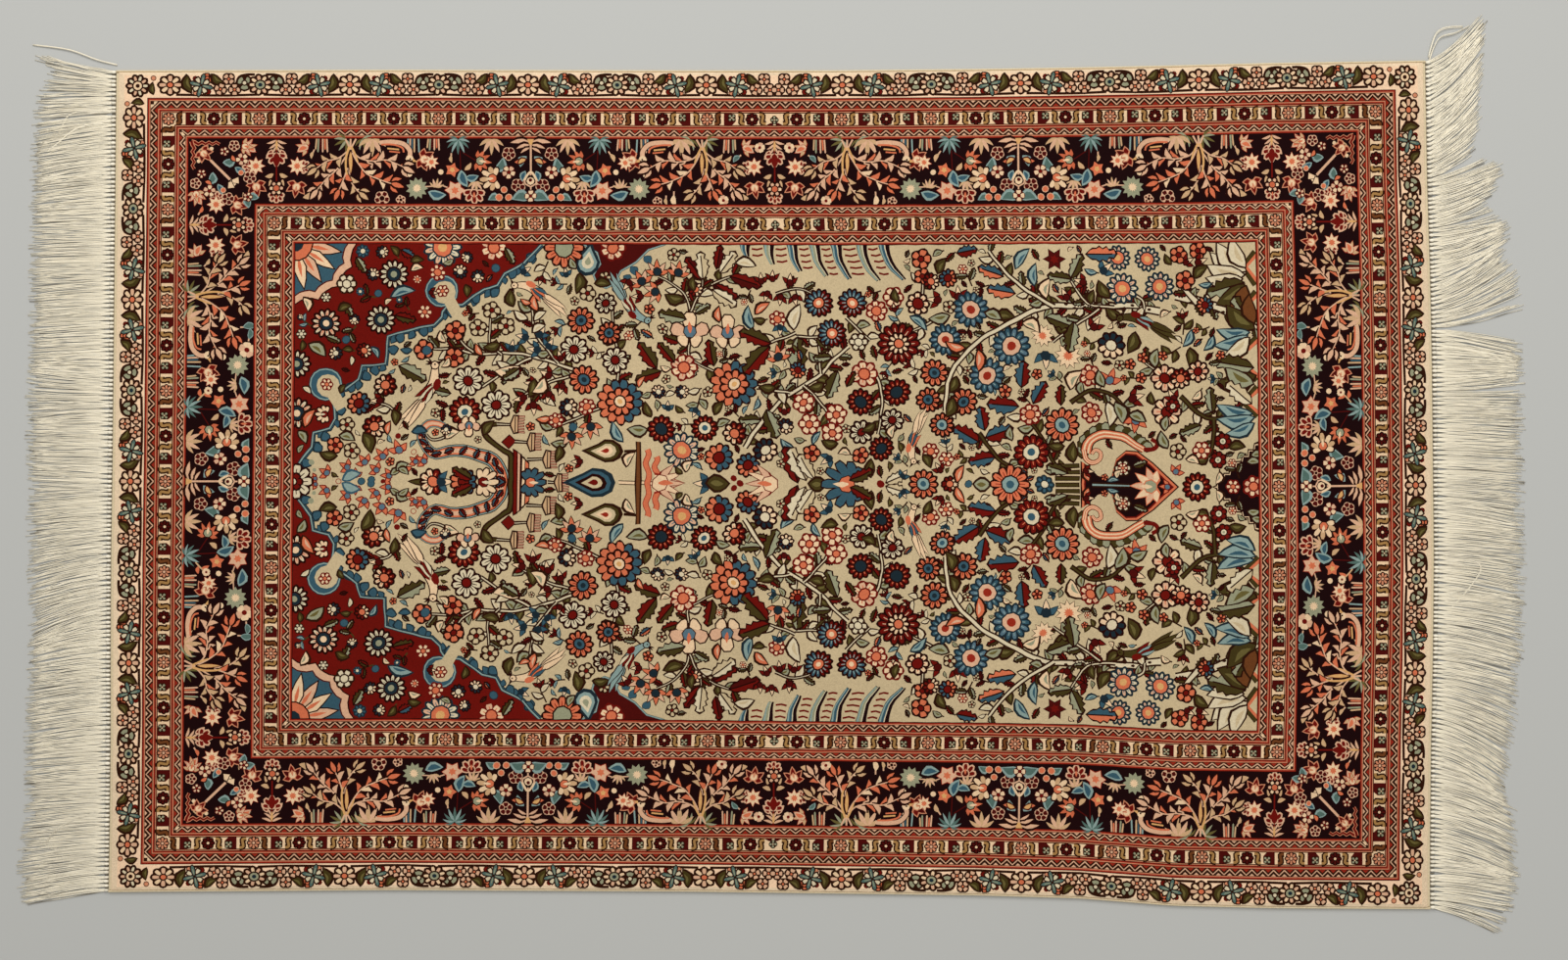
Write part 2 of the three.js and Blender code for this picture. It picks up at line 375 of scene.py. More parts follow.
@dataclass(frozen=True)
class Pen:
    """Draws in a small frame of its own somewhere on a chart."""

    chart: Chart
    origin: Point = (0.0, 0.0)
    right: Point = (1.0, 0.0)
    up: Point = (0.0, 1.0)

    def to_chart(self, x: float, y: float) -> Point:
        """Carry a point of the pen's frame to the chart."""
        return (
            self.origin[0] + x * self.right[0] + y * self.up[0],
            self.origin[1] + x * self.right[1] + y * self.up[1],
        )

    def at(self, x: float, y: float, turn: float = 0.0, size: float = 1.0, flip: bool = False) -> "Pen":
        """Move, turn, size and mirror the pen.

        Args:
            x: the new origin in this pen's frame.
            y: the same, upwards.
            turn: degrees from right towards up.
            size: how much larger the new pen draws.
            flip: whether its up direction is mirrored before the turn.

        Returns:
            The new pen.
        """
        c = math.cos(math.radians(turn)) * size
        s = math.sin(math.radians(turn)) * size
        k = -1 if flip else 1
        right = (c * self.right[0] + s * self.up[0], c * self.right[1] + s * self.up[1])
        up = (k * (c * self.up[0] - s * self.right[0]), k * (c * self.up[1] - s * self.right[1]))
        return Pen(self.chart, self.to_chart(x, y), right, up)

    def mirrored(self) -> "Pen":
        """Give the same pen with its right direction reversed."""
        return Pen(self.chart, self.origin, (-self.right[0], -self.right[1]), self.up)

    def squeezed(self, share: float) -> "Pen":
        """Give the same pen with its up direction shortened, or reversed where the share is below 0."""
        return Pen(self.chart, self.origin, self.right, (share * self.up[0], share * self.up[1]))

    def fill(self, outline: Outline, ink: Silk) -> None:
        """Fill an outline of the pen's frame with one silk."""
        self.chart.fill([self.to_chart(x, y) for x, y in outline], ink)

    def line(self, path: Outline, width: float, ink: Silk, taper: float = 1.0) -> None:
        """Draw a line as one quad for each stretch.

        Args:
            path: the points that it passes through.
            width: its width at the start.
            ink: its silk.
            taper: its width at the end as a share of the width at the start.
        """
        count = len(path)
        left, right = [], []
        for i, (x, y) in enumerate(path):
            ax, ay = path[max(i - 1, 0)]
            bx, by = path[min(i + 1, count - 1)]
            length = math.hypot(bx - ax, by - ay) or 1.0
            half = width / 2 * (1 + (taper - 1) * i / (count - 1))
            nx, ny = -(by - ay) / length * half, (bx - ax) / length * half
            left.append((x + nx, y + ny))
            right.append((x - nx, y - ny))
        for i in range(count - 1):
            self.fill([left[i], right[i], right[i + 1], left[i + 1]], ink)

    def lines(self, path: Outline, layers: tuple[tuple[float, Silk], ...], taper: float = 1.0) -> None:
        """Draw lines of several widths over each other.

        Args:
            path: the points that they pass through.
            layers: each line's width and silk, from the lowest up.
            taper: each line's width at the end as a share of the width at the start.
        """
        for width, ink in layers:
            self.line(path, width, ink, taper)

    def rings(self, layers: tuple[tuple[float, Silk], ...], sides: int) -> None:
        """Draw rings over each other round the pen's origin.

        Args:
            layers: each ring's radius and silk, from the lowest up.
            sides: how many corners each ring has.
        """
        for radius, ink in layers:
            self.fill(ring(radius, sides), ink)


def ring(radius: float, count: int, start: float = 0.0, squeeze: float = 1.0) -> Outline:
    """Give the corners of a regular outline.

    Args:
        radius: from its middle to a corner.
        count: how many corners.
        start: the first corner's direction in degrees.
        squeeze: its height as a share of its width.

    Returns:
        The corners.
    """
    angles = [math.radians(start) + 2 * math.pi * i / count for i in range(count)]
    return [(radius * math.cos(a), radius * squeeze * math.sin(a)) for a in angles]


def lobed(radius: float, lobes: int, depth: float, start: float = 0.0) -> Outline:
    """Give a round outline with scallops.

    Args:
        radius: from its middle to the top of a scallop.
        lobes: how many scallops.
        depth: how far the notches reach in, as a share of the radius.
        start: the first scallop's direction in degrees.

    Returns:
        The outline.
    """
    result: Outline = []
    for i in range(lobes * 4):
        angle = math.radians(start) + 2 * math.pi * i / (lobes * 4)
        reach = radius * (1, 0.94, 1 - depth, 0.94)[i % 4]
        result.append((reach * math.cos(angle), reach * math.sin(angle)))
    return result


def star(radius: float, points: int, inner: float, start: float = 0.0) -> Outline:
    """Give a star.

    Args:
        radius: from its middle to a point.
        points: how many points.
        inner: the notches' radius as a share of the points'.
        start: the first point's direction in degrees.

    Returns:
        The outline.
    """
    result: Outline = []
    for i in range(points * 2):
        angle = math.radians(start) + math.pi * i / points
        reach = radius * (inner if i % 2 else 1.0)
        result.append((reach * math.cos(angle), reach * math.sin(angle)))
    return result


def petal(start: float, end: float, width: float, tip: float = 0.45) -> Outline:
    """Give a petal along the pen's right direction.

    Args:
        start: where its foot is.
        end: where its tip is.
        width: its greatest width.
        tip: the width near its tip as a share of the greatest, 0 for a pointed petal.

    Returns:
        The outline.
    """
    span = end - start
    half = width / 2
    low = [(start, -half * 0.3), (start + span * 0.45, -half * 0.9), (start + span * 0.8, -half)]
    if tip:
        low[2:] = [(start + span * 0.78, -half), (end, -half * tip)]
    else:
        low[1:] = [(start + span * 0.4, -half), (start + span * 0.72, -half * 0.6)]
    high = [(x, -y) for x, y in reversed(low)]
    return low + ([] if tip else [(end, 0.0)]) + high


def blade(length: float, width: float, curl: float = 0.0) -> Outline:
    """Give a pointed leaf from the pen's origin along its right direction.

    Args:
        length: from foot to point.
        width: its greatest width.
        curl: how far its middle bulges to the left, as a share of the length.

    Returns:
        The outline.
    """
    shares = ((0.14, 0.56), (0.36, 1.0), (0.62, 0.88), (0.84, 0.46))
    bend = [length * curl * math.sin(math.pi * s) for s, _ in shares]
    top = [(length * s, b + width / 2 * w) for (s, w), b in zip(shares, bend)]
    low = [(length * s, b - width / 2 * w) for (s, w), b in zip(shares, bend)]
    return [(0.0, 0.0)] + low + [(length, 0.0)] + top[::-1]


def pen_point(radius: float, turn: float) -> Point:
    """Give the point at a distance and a turn in degrees."""
    return (radius * math.cos(math.radians(turn)), radius * math.sin(math.radians(turn)))


def bow(path: Outline, steps: int = 4) -> Outline:
    """Round a path off, as a smooth curve through its points.

    Args:
        path: the points that it passes through.
        steps: how many stretches lie between two of them.

    Returns:
        The finer path.
    """
    ends = [path[0]] + path + [path[-1]]
    result: Outline = []
    for i in range(len(path) - 1):
        a, b, c, d = ends[i:i + 4]
        for j in range(steps):
            t = j / steps
            weights = (
                -0.5 * t + t * t - 0.5 * t ** 3,
                1 - 2.5 * t * t + 1.5 * t ** 3,
                0.5 * t + 2 * t * t - 1.5 * t ** 3,
                -0.5 * t * t + 0.5 * t ** 3,
            )
            result.append(tuple(sum(w * p[k] for w, p in zip(weights, (a, b, c, d))) for k in (0, 1)))
    result.append(path[-1])
    return result


class Motif(Protocol):
    """Anything that can be drawn at a pen's place in a given size."""

    def draw(self, pen: Pen, size: float) -> None:
        """Draw it."""


@dataclass(frozen=True)
class Bloom:
    """A flower seen from above: a ring of petals round a heart."""

    petals: int
    petal: Silk
    heart: Silk
    edge: Silk | None = Silk.MAROON
    second: Silk | None = None
    eye: Silk | None = None
    tip: float = 0.6
    core: float = 0.34
    fill: float = 1.0
    squeeze: float = 1.0
    rim: float = 2.8  # knots that the edge is wide
    bold: float = 0.22  # the most of the radius that the edge takes up
    gap: float = 2.5  # knots of edge between two petals
    halved: bool = False  # whether the second silk fills one half and not every other petal
    streak: Silk | None = None  # the line along each petal

    def draw(self, pen: Pen, radius: float) -> None:
        """Draw the flower.

        Args:
            pen: stands at its middle.
            radius: to the tips of its petals.
        """
        pen = pen.squeezed(self.squeeze)
        rim = min(self.rim, radius * self.bold)
        if self.edge:
            pen.fill(lobed(radius, self.petals, 0.16), self.edge)
        reach = radius - (rim if self.edge else 0)
        pitch = 2 * reach * 0.84 * math.sin(math.pi / self.petals)
        width = max(pitch * self.fill - (self.gap if self.edge else 0.0), pitch * 0.5)
        for i in range(self.petals):
            other = i * 2 < self.petals if self.halved else i % 2 == 1
            ink = self.second if self.second and other else self.petal
            local = pen.at(0, 0, 360 * i / self.petals)
            local.fill(petal(radius * 0.2, reach, width, self.tip), ink)
            if self.streak and radius > 10:
                local.line([(radius * 0.3, 0), (reach * 0.8, 0)], 1.3, self.streak, 0.6)
        sides = 6 if radius < 8 else 9
        heart = radius * self.core
        if self.edge:
            pen.fill(ring(heart + rim * 0.6, sides), self.edge)
        pen.fill(ring(heart, sides), self.heart)
        if self.eye:
            pen.fill(ring(heart * 0.5, sides), self.eye)


@dataclass(frozen=True)
class Double:
    """A flower with a smaller one in its middle."""

    outer: Bloom
    inner: Bloom
    share: float = 0.66

    def draw(self, pen: Pen, radius: float) -> None:
        """Draw both, the outer one to the given radius."""
        self.outer.draw(pen, radius)
        self.inner.draw(pen, radius * self.share)


@dataclass(frozen=True)
class Fan:
    """A flower seen from the side, which opens along the pen's right direction."""

    petals: int
    petal: Silk
    cup: Silk
    edge: Silk | None = Silk.MAROON
    second: Silk | None = None
    heart: Silk | None = None
    spread: float = 170.0
    tip: float = 0.0
    rim: float = 1.6

    def draw(self, pen: Pen, radius: float) -> None:
        """Draw the flower.

        Args:
            pen: stands at its middle.
            radius: half of its length.
        """
        foot = pen.at(-radius * 0.6, 0)
        reach = radius * 1.6
        turns = [self.spread * (i / (self.petals - 1) - 0.5) for i in range(self.petals)]
        width = 2 * reach * 0.62 * math.sin(math.radians(self.spread / self.petals / 2))
        lengths = [reach * (0.72 + 0.28 * math.cos(math.radians(turn))) for turn in turns]
        if self.edge:
            for turn, length in zip(turns, lengths):
                outline = petal(0, length + self.rim, width + 1.7 * self.rim, self.tip)
                foot.at(0, 0, turn).fill(outline, self.edge)
        for i, (turn, length) in enumerate(zip(turns, lengths)):
            ink = self.second if self.second and i % 2 else self.petal
            foot.at(0, 0, turn).fill(petal(reach * 0.15, length, width, self.tip), ink)
        if self.edge:
            foot.at(reach * 0.18, 0).fill(ring(reach * 0.27 + self.rim * 0.7, 7), self.edge)
        foot.at(reach * 0.18, 0).fill(ring(reach * 0.27, 7), self.cup)
        if self.heart:
            foot.at(reach * 0.22, 0).fill(petal(-reach * 0.1, reach * 0.42, reach * 0.2, 0), self.heart)


@dataclass(frozen=True)
class Leaf:
    """A pointed leaf that grows from the pen's origin."""

    ink: Silk
    edge: Silk | None = None
    vein: Silk | None = None
    width: float = 0.46
    curl: float = 0.12
    rim: float = 2.3

    def draw(self, pen: Pen, length: float) -> None:
        """Draw the leaf.

        Args:
            pen: stands at its foot.
            length: from foot to point.
        """
        width = length * self.width
        rim = min(self.rim, length * 0.16)
        if self.edge:
            around = blade(length + 2 * rim, width + 2 * rim, self.curl)
            pen.at(-rim, 0).fill(around, self.edge)
        pen.fill(blade(length, width, self.curl), self.ink)
        if self.vein:
            pen.at(length * 0.15, 0).fill(blade(length * 0.62, width * 0.34, self.curl), self.vein)


@dataclass(frozen=True)
class StarFlower:
    """A flower of pointed petals with a paler heart."""

    points: int
    ink: Silk
    heart: Silk
    edge: Silk | None = None
    inner: float = 0.5

    def draw(self, pen: Pen, radius: float) -> None:
        """Draw the star, its radius to the points."""
        if self.edge:
            pen.fill(star(radius + 0.8, self.points, self.inner + 0.05), self.edge)
        pen.fill(star(radius, self.points, self.inner), self.ink)
        pen.fill(star(radius * 0.42, self.points, 0.6, 20), self.heart)


@dataclass(frozen=True)
class Cross:
    """Four narrow arms with a dark edge and small lobes between them."""

    arm: Silk
    vein: Silk
    lobe: Silk
    edge: Silk = Silk.BROWN

    def draw(self, pen: Pen, radius: float) -> None:
        """Draw the cross, as far from its middle to an arm's end as said."""
        for turn in range(45, 405, 90):
            pen.at(0, 0, turn).fill(petal(0, radius * 0.86, radius * 0.56, 0.8), self.edge)
            pen.at(0, 0, turn).fill(petal(radius * 0.3, radius * 0.72, radius * 0.32, 0.8), self.lobe)
        for turn in range(0, 360, 90):
            pen.at(0, 0, turn).fill(petal(0, radius * 1.1, radius * 0.5, 0.3), self.edge)
        for turn in range(0, 360, 90):
            pen.at(0, 0, turn).fill(petal(0, radius, radius * 0.28, 0.3), self.arm)
            vein = [pen_point(radius * 0.2, turn), pen_point(radius * 0.7, turn)]
            pen.line(vein, radius * 0.08, self.vein)
        pen.fill(ring(radius * 0.14, 6), self.edge)


@dataclass(frozen=True)
class Tuft:
    """A bunch of narrow strips that fans out along the pen's right direction."""

    strips: int
    ink: Silk
    second: Silk
    spread: float = 110.0
    width: float = 0.2

    def draw(self, pen: Pen, length: float) -> None:
        """Draw the bunch, as long as said."""
        for i in range(self.strips):
            turn = self.spread * (i / (self.strips - 1) - 0.5)
            reach = length * (0.75 + 0.25 * math.cos(math.radians(turn)))
            strip = Leaf(self.second if i % 2 else self.ink, width=self.width, curl=turn / 700)
            strip.draw(pen.at(0, 0, turn), reach)


@dataclass(frozen=True)
class Bars:
    """A bundle of upright stripes that hangs along the pen's right direction."""

    inks: tuple[Silk, ...]

    def draw(self, pen: Pen, length: float) -> None:
        """Draw the bundle, as long as said."""
        pitch, half = 2.1, 0.8
        middle = (len(self.inks) - 1) / 2
        for i, ink in enumerate(self.inks):
            y = (i - middle) * pitch
            end = length * (1 - 0.22 * (i % 2))
            foot = y * 1.15
            pen.fill([(0, y - half), (end, foot - half), (end + 1.2, foot), (end, foot + half),
                      (0, y + half)], ink)


@dataclass(frozen=True)
class Bough:
    """A twig with leaves on both sides and a three-lobed leaf at its end."""

    path: tuple[Point, ...]
    leaves: int
    ink: Silk
    second: Silk
    stem: Silk = Silk.BLUSH
    edge: Silk | None = Silk.MAROON
    size: float = 9.5
    thick: float = 1.6
    first: float = 0.3

    def draw(self, pen: Pen, scale: float) -> None:
        """Draw the twig, its size in knots as a share of the table's."""
        pen = pen.at(0, 0, 0, scale)
        path = bow(list(self.path))
        last = len(path) - 1
        for i in range(self.leaves):
            place = (self.first + (0.94 - self.first) * i / max(self.leaves - 1, 1)) * last
            low = int(place)
            (ax, ay), (bx, by) = path[low], path[min(low + 1, last)]
            heading = math.degrees(math.atan2(by - ay, bx - ax))
            side = 1 if i % 2 else -1
            leaf = Leaf(self.second if i % 3 == 2 else self.ink, self.edge, width=0.42, curl=-0.2 * side)
            leaf.draw(pen.at(ax, ay, heading + 50 * side), self.size * (1 - 0.12 * (i % 2)))
        (ax, ay), (bx, by) = path[-2:]
        heading = math.degrees(math.atan2(by - ay, bx - ax))
        for turn, share in ((-40, 0.95), (38, 0.95), (0, 1.1)):
            leaf = Leaf(self.ink, self.edge, width=0.36, curl=0.004 * turn)
            leaf.draw(pen.at(bx, by, heading + turn), self.size * share)
        pen.line(path, self.thick, self.stem, 0.6)


@dataclass(frozen=True)
class Dot:
    """A round dot with an edge."""

    ink: Silk
    edge: Silk | None = None

    def draw(self, pen: Pen, radius: float) -> None:
        """Draw the dot, its radius with the edge."""
        if self.edge:
            pen.fill(ring(radius, 8), self.edge)
        pen.fill(ring(radius - (0.8 if self.edge else 0), 8), self.ink)


class Spot(NamedTuple):
    """One row of a table of motifs: where it stands on the chart and how large, in knots."""

    motif: Motif
    x: float
    y: float
    size: float
    turn: float  # degrees


class Stem(NamedTuple):
    """One row of the table of stems: its points and its width, in knots."""

    path: tuple[Point, ...]
    thick: float
    ink: Silk = Silk.PALE


@dataclass(frozen=True)
class Sprig:
    """A thin stem with a bud at its tip and a leaf on each side."""

    leaf: Motif
    bud: Motif
    stem: Silk = Silk.BROWN
    thick: float = 1.6

    def draw(self, pen: Pen, reach: float) -> None:
        """Draw the sprig inside a circle of the given radius."""
        path = bow([(-reach, -reach * 0.2), (-reach * 0.3, 0), (reach * 0.5, reach * 0.1)], 3)
        pen.line(path, self.thick, self.stem)
        self.leaf.draw(pen.at(-reach * 0.5, 0, 58), reach * 0.85)
        self.leaf.draw(pen.at(-reach * 0.1, 0, -52), reach * 0.85)
        self.bud.draw(pen.at(reach * 0.55, reach * 0.1, 8), reach * 0.42)


@dataclass(frozen=True)
class Single:
    """One leaf on a short stalk."""

    leaf: Motif
    stem: Silk = Silk.BROWN

    def draw(self, pen: Pen, reach: float) -> None:
        """Draw the leaf inside a circle of the given radius."""
        pen.line([(-reach, -reach * 0.1), (-reach * 0.4, 0)], 1.5, self.stem)
        self.leaf.draw(pen.at(-reach * 0.55, 0), reach * 1.5)


@dataclass(frozen=True)
class Filling:
    """Small sprigs in whatever room the larger motifs leave, as a weaver fills a ground."""

    motifs: tuple[Motif, ...]
    small: tuple[Motif, ...]
    reaches: tuple[float, ...] = (13.0, 11.0, 9.0, 7.5, 6.2, 5.2, 4.3, 3.6)
    pitch: float = 2.6  # knots from one place that is tried to the next
    seed: int = 5
    least: float = 8.0  # the reach up to which the small motifs are drawn

    def draw(self, chart: Chart, low: Point, high: Point, turn: float) -> None:
        """Fill a rectangle of the chart.

        Args:
            chart: the chart.
            low: the rectangle's left lower corner.
            high: its right upper corner.
            turn: the way that the sprigs grow, in degrees.
        """
        rng = random.Random(self.seed)
        count = 0
        for reach in self.reaches:
            columns = int((high[0] - low[0] - 2 * reach) / self.pitch)
            rows = int((high[1] - low[1] - 2 * reach) / self.pitch)
            for i in range(max(columns, 0) + 1):
                for j in range(max(rows, 0) + 1):
                    x = low[0] + reach + self.pitch * i + rng.uniform(-1, 1)
                    y = low[1] + reach + self.pitch * j + rng.uniform(-1, 1)
                    if chart.is_free(x, y, reach * 0.54):
                        heading = turn + rng.uniform(-80, 80)
                        pen = Pen(chart, (x, y)).at(0, 0, heading, flip=rng.random() < 0.5)
                        rng.choice(self.motifs if reach > self.least else self.small).draw(pen, reach)
                        count += 1
        LOG.info("filling: %d sprigs", count)


def plant(pen: Pen, rows: tuple[tuple, ...], grow: float = 1.0, stretch: float = 1.0) -> None:
    """Draw a table of motifs.

    Args:
        pen: the frame of the table's places.
        rows: one for each motif, with the columns of a Spot.
        grow: how much larger than in the table each motif is.
        stretch: how much farther along than in the table it stands.
    """
    for spot in map(Spot._make, rows):
        spot.motif.draw(pen.at(spot.x * stretch, spot.y, spot.turn), spot.size * grow)


@dataclass(frozen=True)
class Run:
    """One side of the borders, from its middle to the mitre at its corner."""

    chart: Chart
    long_side: bool

    @property
    def half(self) -> float:
        """Give the distance from the side's middle to the rug's corner, in knots."""
        return CHART_HALF_LENGTH if self.long_side else CHART_HALF_WIDTH

    def pen(self, depth: float) -> Pen:
        """Give a pen at the side's middle, its up direction towards the field.

        Args:
            depth: how far in from the rug's edge it stands.

        Returns:
            The pen.
        """
        if self.long_side:
            return Pen(self.chart, (0.0, CHART_HALF_WIDTH - depth), (1.0, 0.0), (0.0, -1.0))
        return Pen(self.chart, (CHART_HALF_LENGTH - depth, 0.0), (0.0, 1.0), (-1.0, 0.0))

    def strip(self, start: float, end: float, ink: Silk) -> None:
        """Lay a plain strip along the side, cut at the mitre.

        Args:
            start: its outer line's depth.
            end: its inner line's depth.
            ink: its silk.
        """
        corner = self.half
        outline = [(0, start), (corner - start, start), (corner - end, end), (0, end)]
        self.pen(0).fill(divided(outline, 16.0), ink)


@dataclass(frozen=True)
class GuardStripe:
    """A narrow band of lines with a row of zigzags between them."""

    start: float
    end: float
    turned: bool = False
    period: float = 11.4

    def draw(self, run: Run) -> None:
        """Draw the band along one side."""
        width = self.end - self.start
        lines = (
            (0.0, 0.8, Silk.MAROON),
            (0.8, 2.3, Silk.RED),
            (2.3, 3.2, Silk.PINK),
            (3.2, width - 3.7, Silk.BROWN),
            (width - 3.7, width - 2.8, Silk.PINK),
            (width - 2.8, width - 1.5, Silk.RED),
            (width - 1.5, width - 0.8, Silk.MAROON),
            (width - 0.8, width, Silk.PINK),
        )
        for low, high, ink in lines:
            if self.turned:
                low, high = width - high, width - low
            run.strip(self.start + low, self.start + high, ink)
        self.zigzag(run, width)

    def zigzag(self, run: Run, width: float) -> None:
        """Draw the row of triangles and the zigzag between them.

        Args:
            run: the side.
            width: the band's width.
        """
        top, low = 3.7, width - 4.2
        pen = run.pen(self.end if self.turned else self.start)
        if self.turned:
            pen = pen.squeezed(-1.0)
        length = run.half - (self.start + self.end) / 2
        count = round(length / self.period)
        step = length / count
        for i in range(count + 1):
            x = i * step
            if i == count:
                mitre = [(x - 3.4, top), (x + 0.5, top), (x + 0.5, top + 3.4), (x - 0.5, top + 3.4)]
                pen.fill(mitre, Silk.CREAM)
                continue
            m = x + step / 2
            pen.line([(x, low - 0.8), (m, top + 0.8), (x + step, low - 0.8)], 1.15, Silk.BLUSH)
            pen.fill([(m - 3.4, low), (m + 3.4, low), (m, low - 3.2)], Silk.RED)
            pen.fill([(x - 2.6, top), (x + 2.6, top), (x, top + 2.4)], Silk.BLUSH)


@dataclass(frozen=True)
class MinorBorder:
    """A cream band of small rosettes, dark square flowers and leaf pairs with hooks between."""

    start: float
    end: float
    long_periods: float
    short_periods: float

    ROSETTE = Bloom(8, Silk.PINK, Silk.BLUSH, Silk.MAROON, tip=0.8, core=0.2, fill=1.1, rim=1.5, gap=1.9)
    SQUARE = Bloom(8, Silk.GARNET, Silk.CREAM, Silk.MAROON, tip=0.9, core=0.2, fill=1.2)
    SPRIG = Bloom(4, Silk.SAGE, Silk.CREAM, Silk.BROWN, tip=0.5, core=0.16, fill=0.92, rim=1.0)
    LINE = 1.0  # the width of the brown lines along the band
    RADIUS = 7.3  # of its rosettes and square flowers
    REST = 23.0  # from the long side's middle to its first flower
    DRAWN_PERIOD = 92.0  # the repeat at which the leaves and hooks have the sizes below

    def draw(self, run: Run) -> None:
        """Draw the band along one side."""
        run.strip(self.start, self.end, Silk.CREAM)
        run.strip(self.start, self.start + self.LINE, Silk.BROWN)
        run.strip(self.end - self.LINE, self.end, Silk.BROWN)
        middle = (self.start + self.end) / 2
        pen = run.pen(middle)
        corner = run.half - middle
        periods = self.long_periods if run.long_side else self.short_periods
        period = (corner - (self.REST if run.long_side else 0.0)) / periods
        halves = round(periods * 2)
        for i in range(halves + 1):
            place = corner - i * period / 2
            (self.SQUARE if i % 2 else self.ROSETTE).draw(pen.at(place, 0), self.RADIUS)
            if i < halves:
                local = pen.at(place - period / 4, 0, 0, period / self.DRAWN_PERIOD)
                self.between(local, -1 if i % 2 else 1)
        if run.long_side:
            self.SPRIG.draw(pen.at(0, 0.5, 90), 4.6)
            for side in (-1, 1):
                Leaf(Silk.GARNET, Silk.MAROON, curl=0.2 * side).draw(pen.at(side * 2, 4, 90 - 70 * side), 7)
                self.hook(pen.at(side * 12.5, 0), -side)

    def between(self, pen: Pen, side: int) -> None:
        """Draw a leaf pair with a hook on each side of it.

        Args:
            pen: stands midway between two flowers.
            side: 1 where the leaf looks along the side, -1 where it looks back.
        """
        pen.fill([(5.8 * side, -6.2), (5.8 * side, 6.4), (-2.6 * side, 6.4), (-6.4 * side, 2.0),
                  (-6.0 * side, -5.0), (-0.6 * side, -6.2)], Silk.GARNET)
        self.SPRIG.draw(pen.at(-2.2 * side, -1.6, 45), 4.7)
        for place, ink in ((-11.8, Silk.TAN), (11.8, Silk.RUST)):
            self.hook(pen.at(place, 0), 1 if place > 0 else -1, ink if side > 0 else Silk.TAN)

    def hook(self, pen: Pen, side: int, ink: Silk = Silk.TAN) -> None:
        """Draw one brown hook with a paler line in it.

        Args:
            pen: stands at its middle.
            side: the way that its foot turns.
            ink: the silk of the line in it.
        """
        path = bow([(-3.0 * side, -4.8), (0.8 * side, -3.8), (-0.2 * side, 3.4), (3.8 * side, 4.6)], 3)
        pen.lines(path, ((6.0, Silk.BROWN), (2.6, ink)))


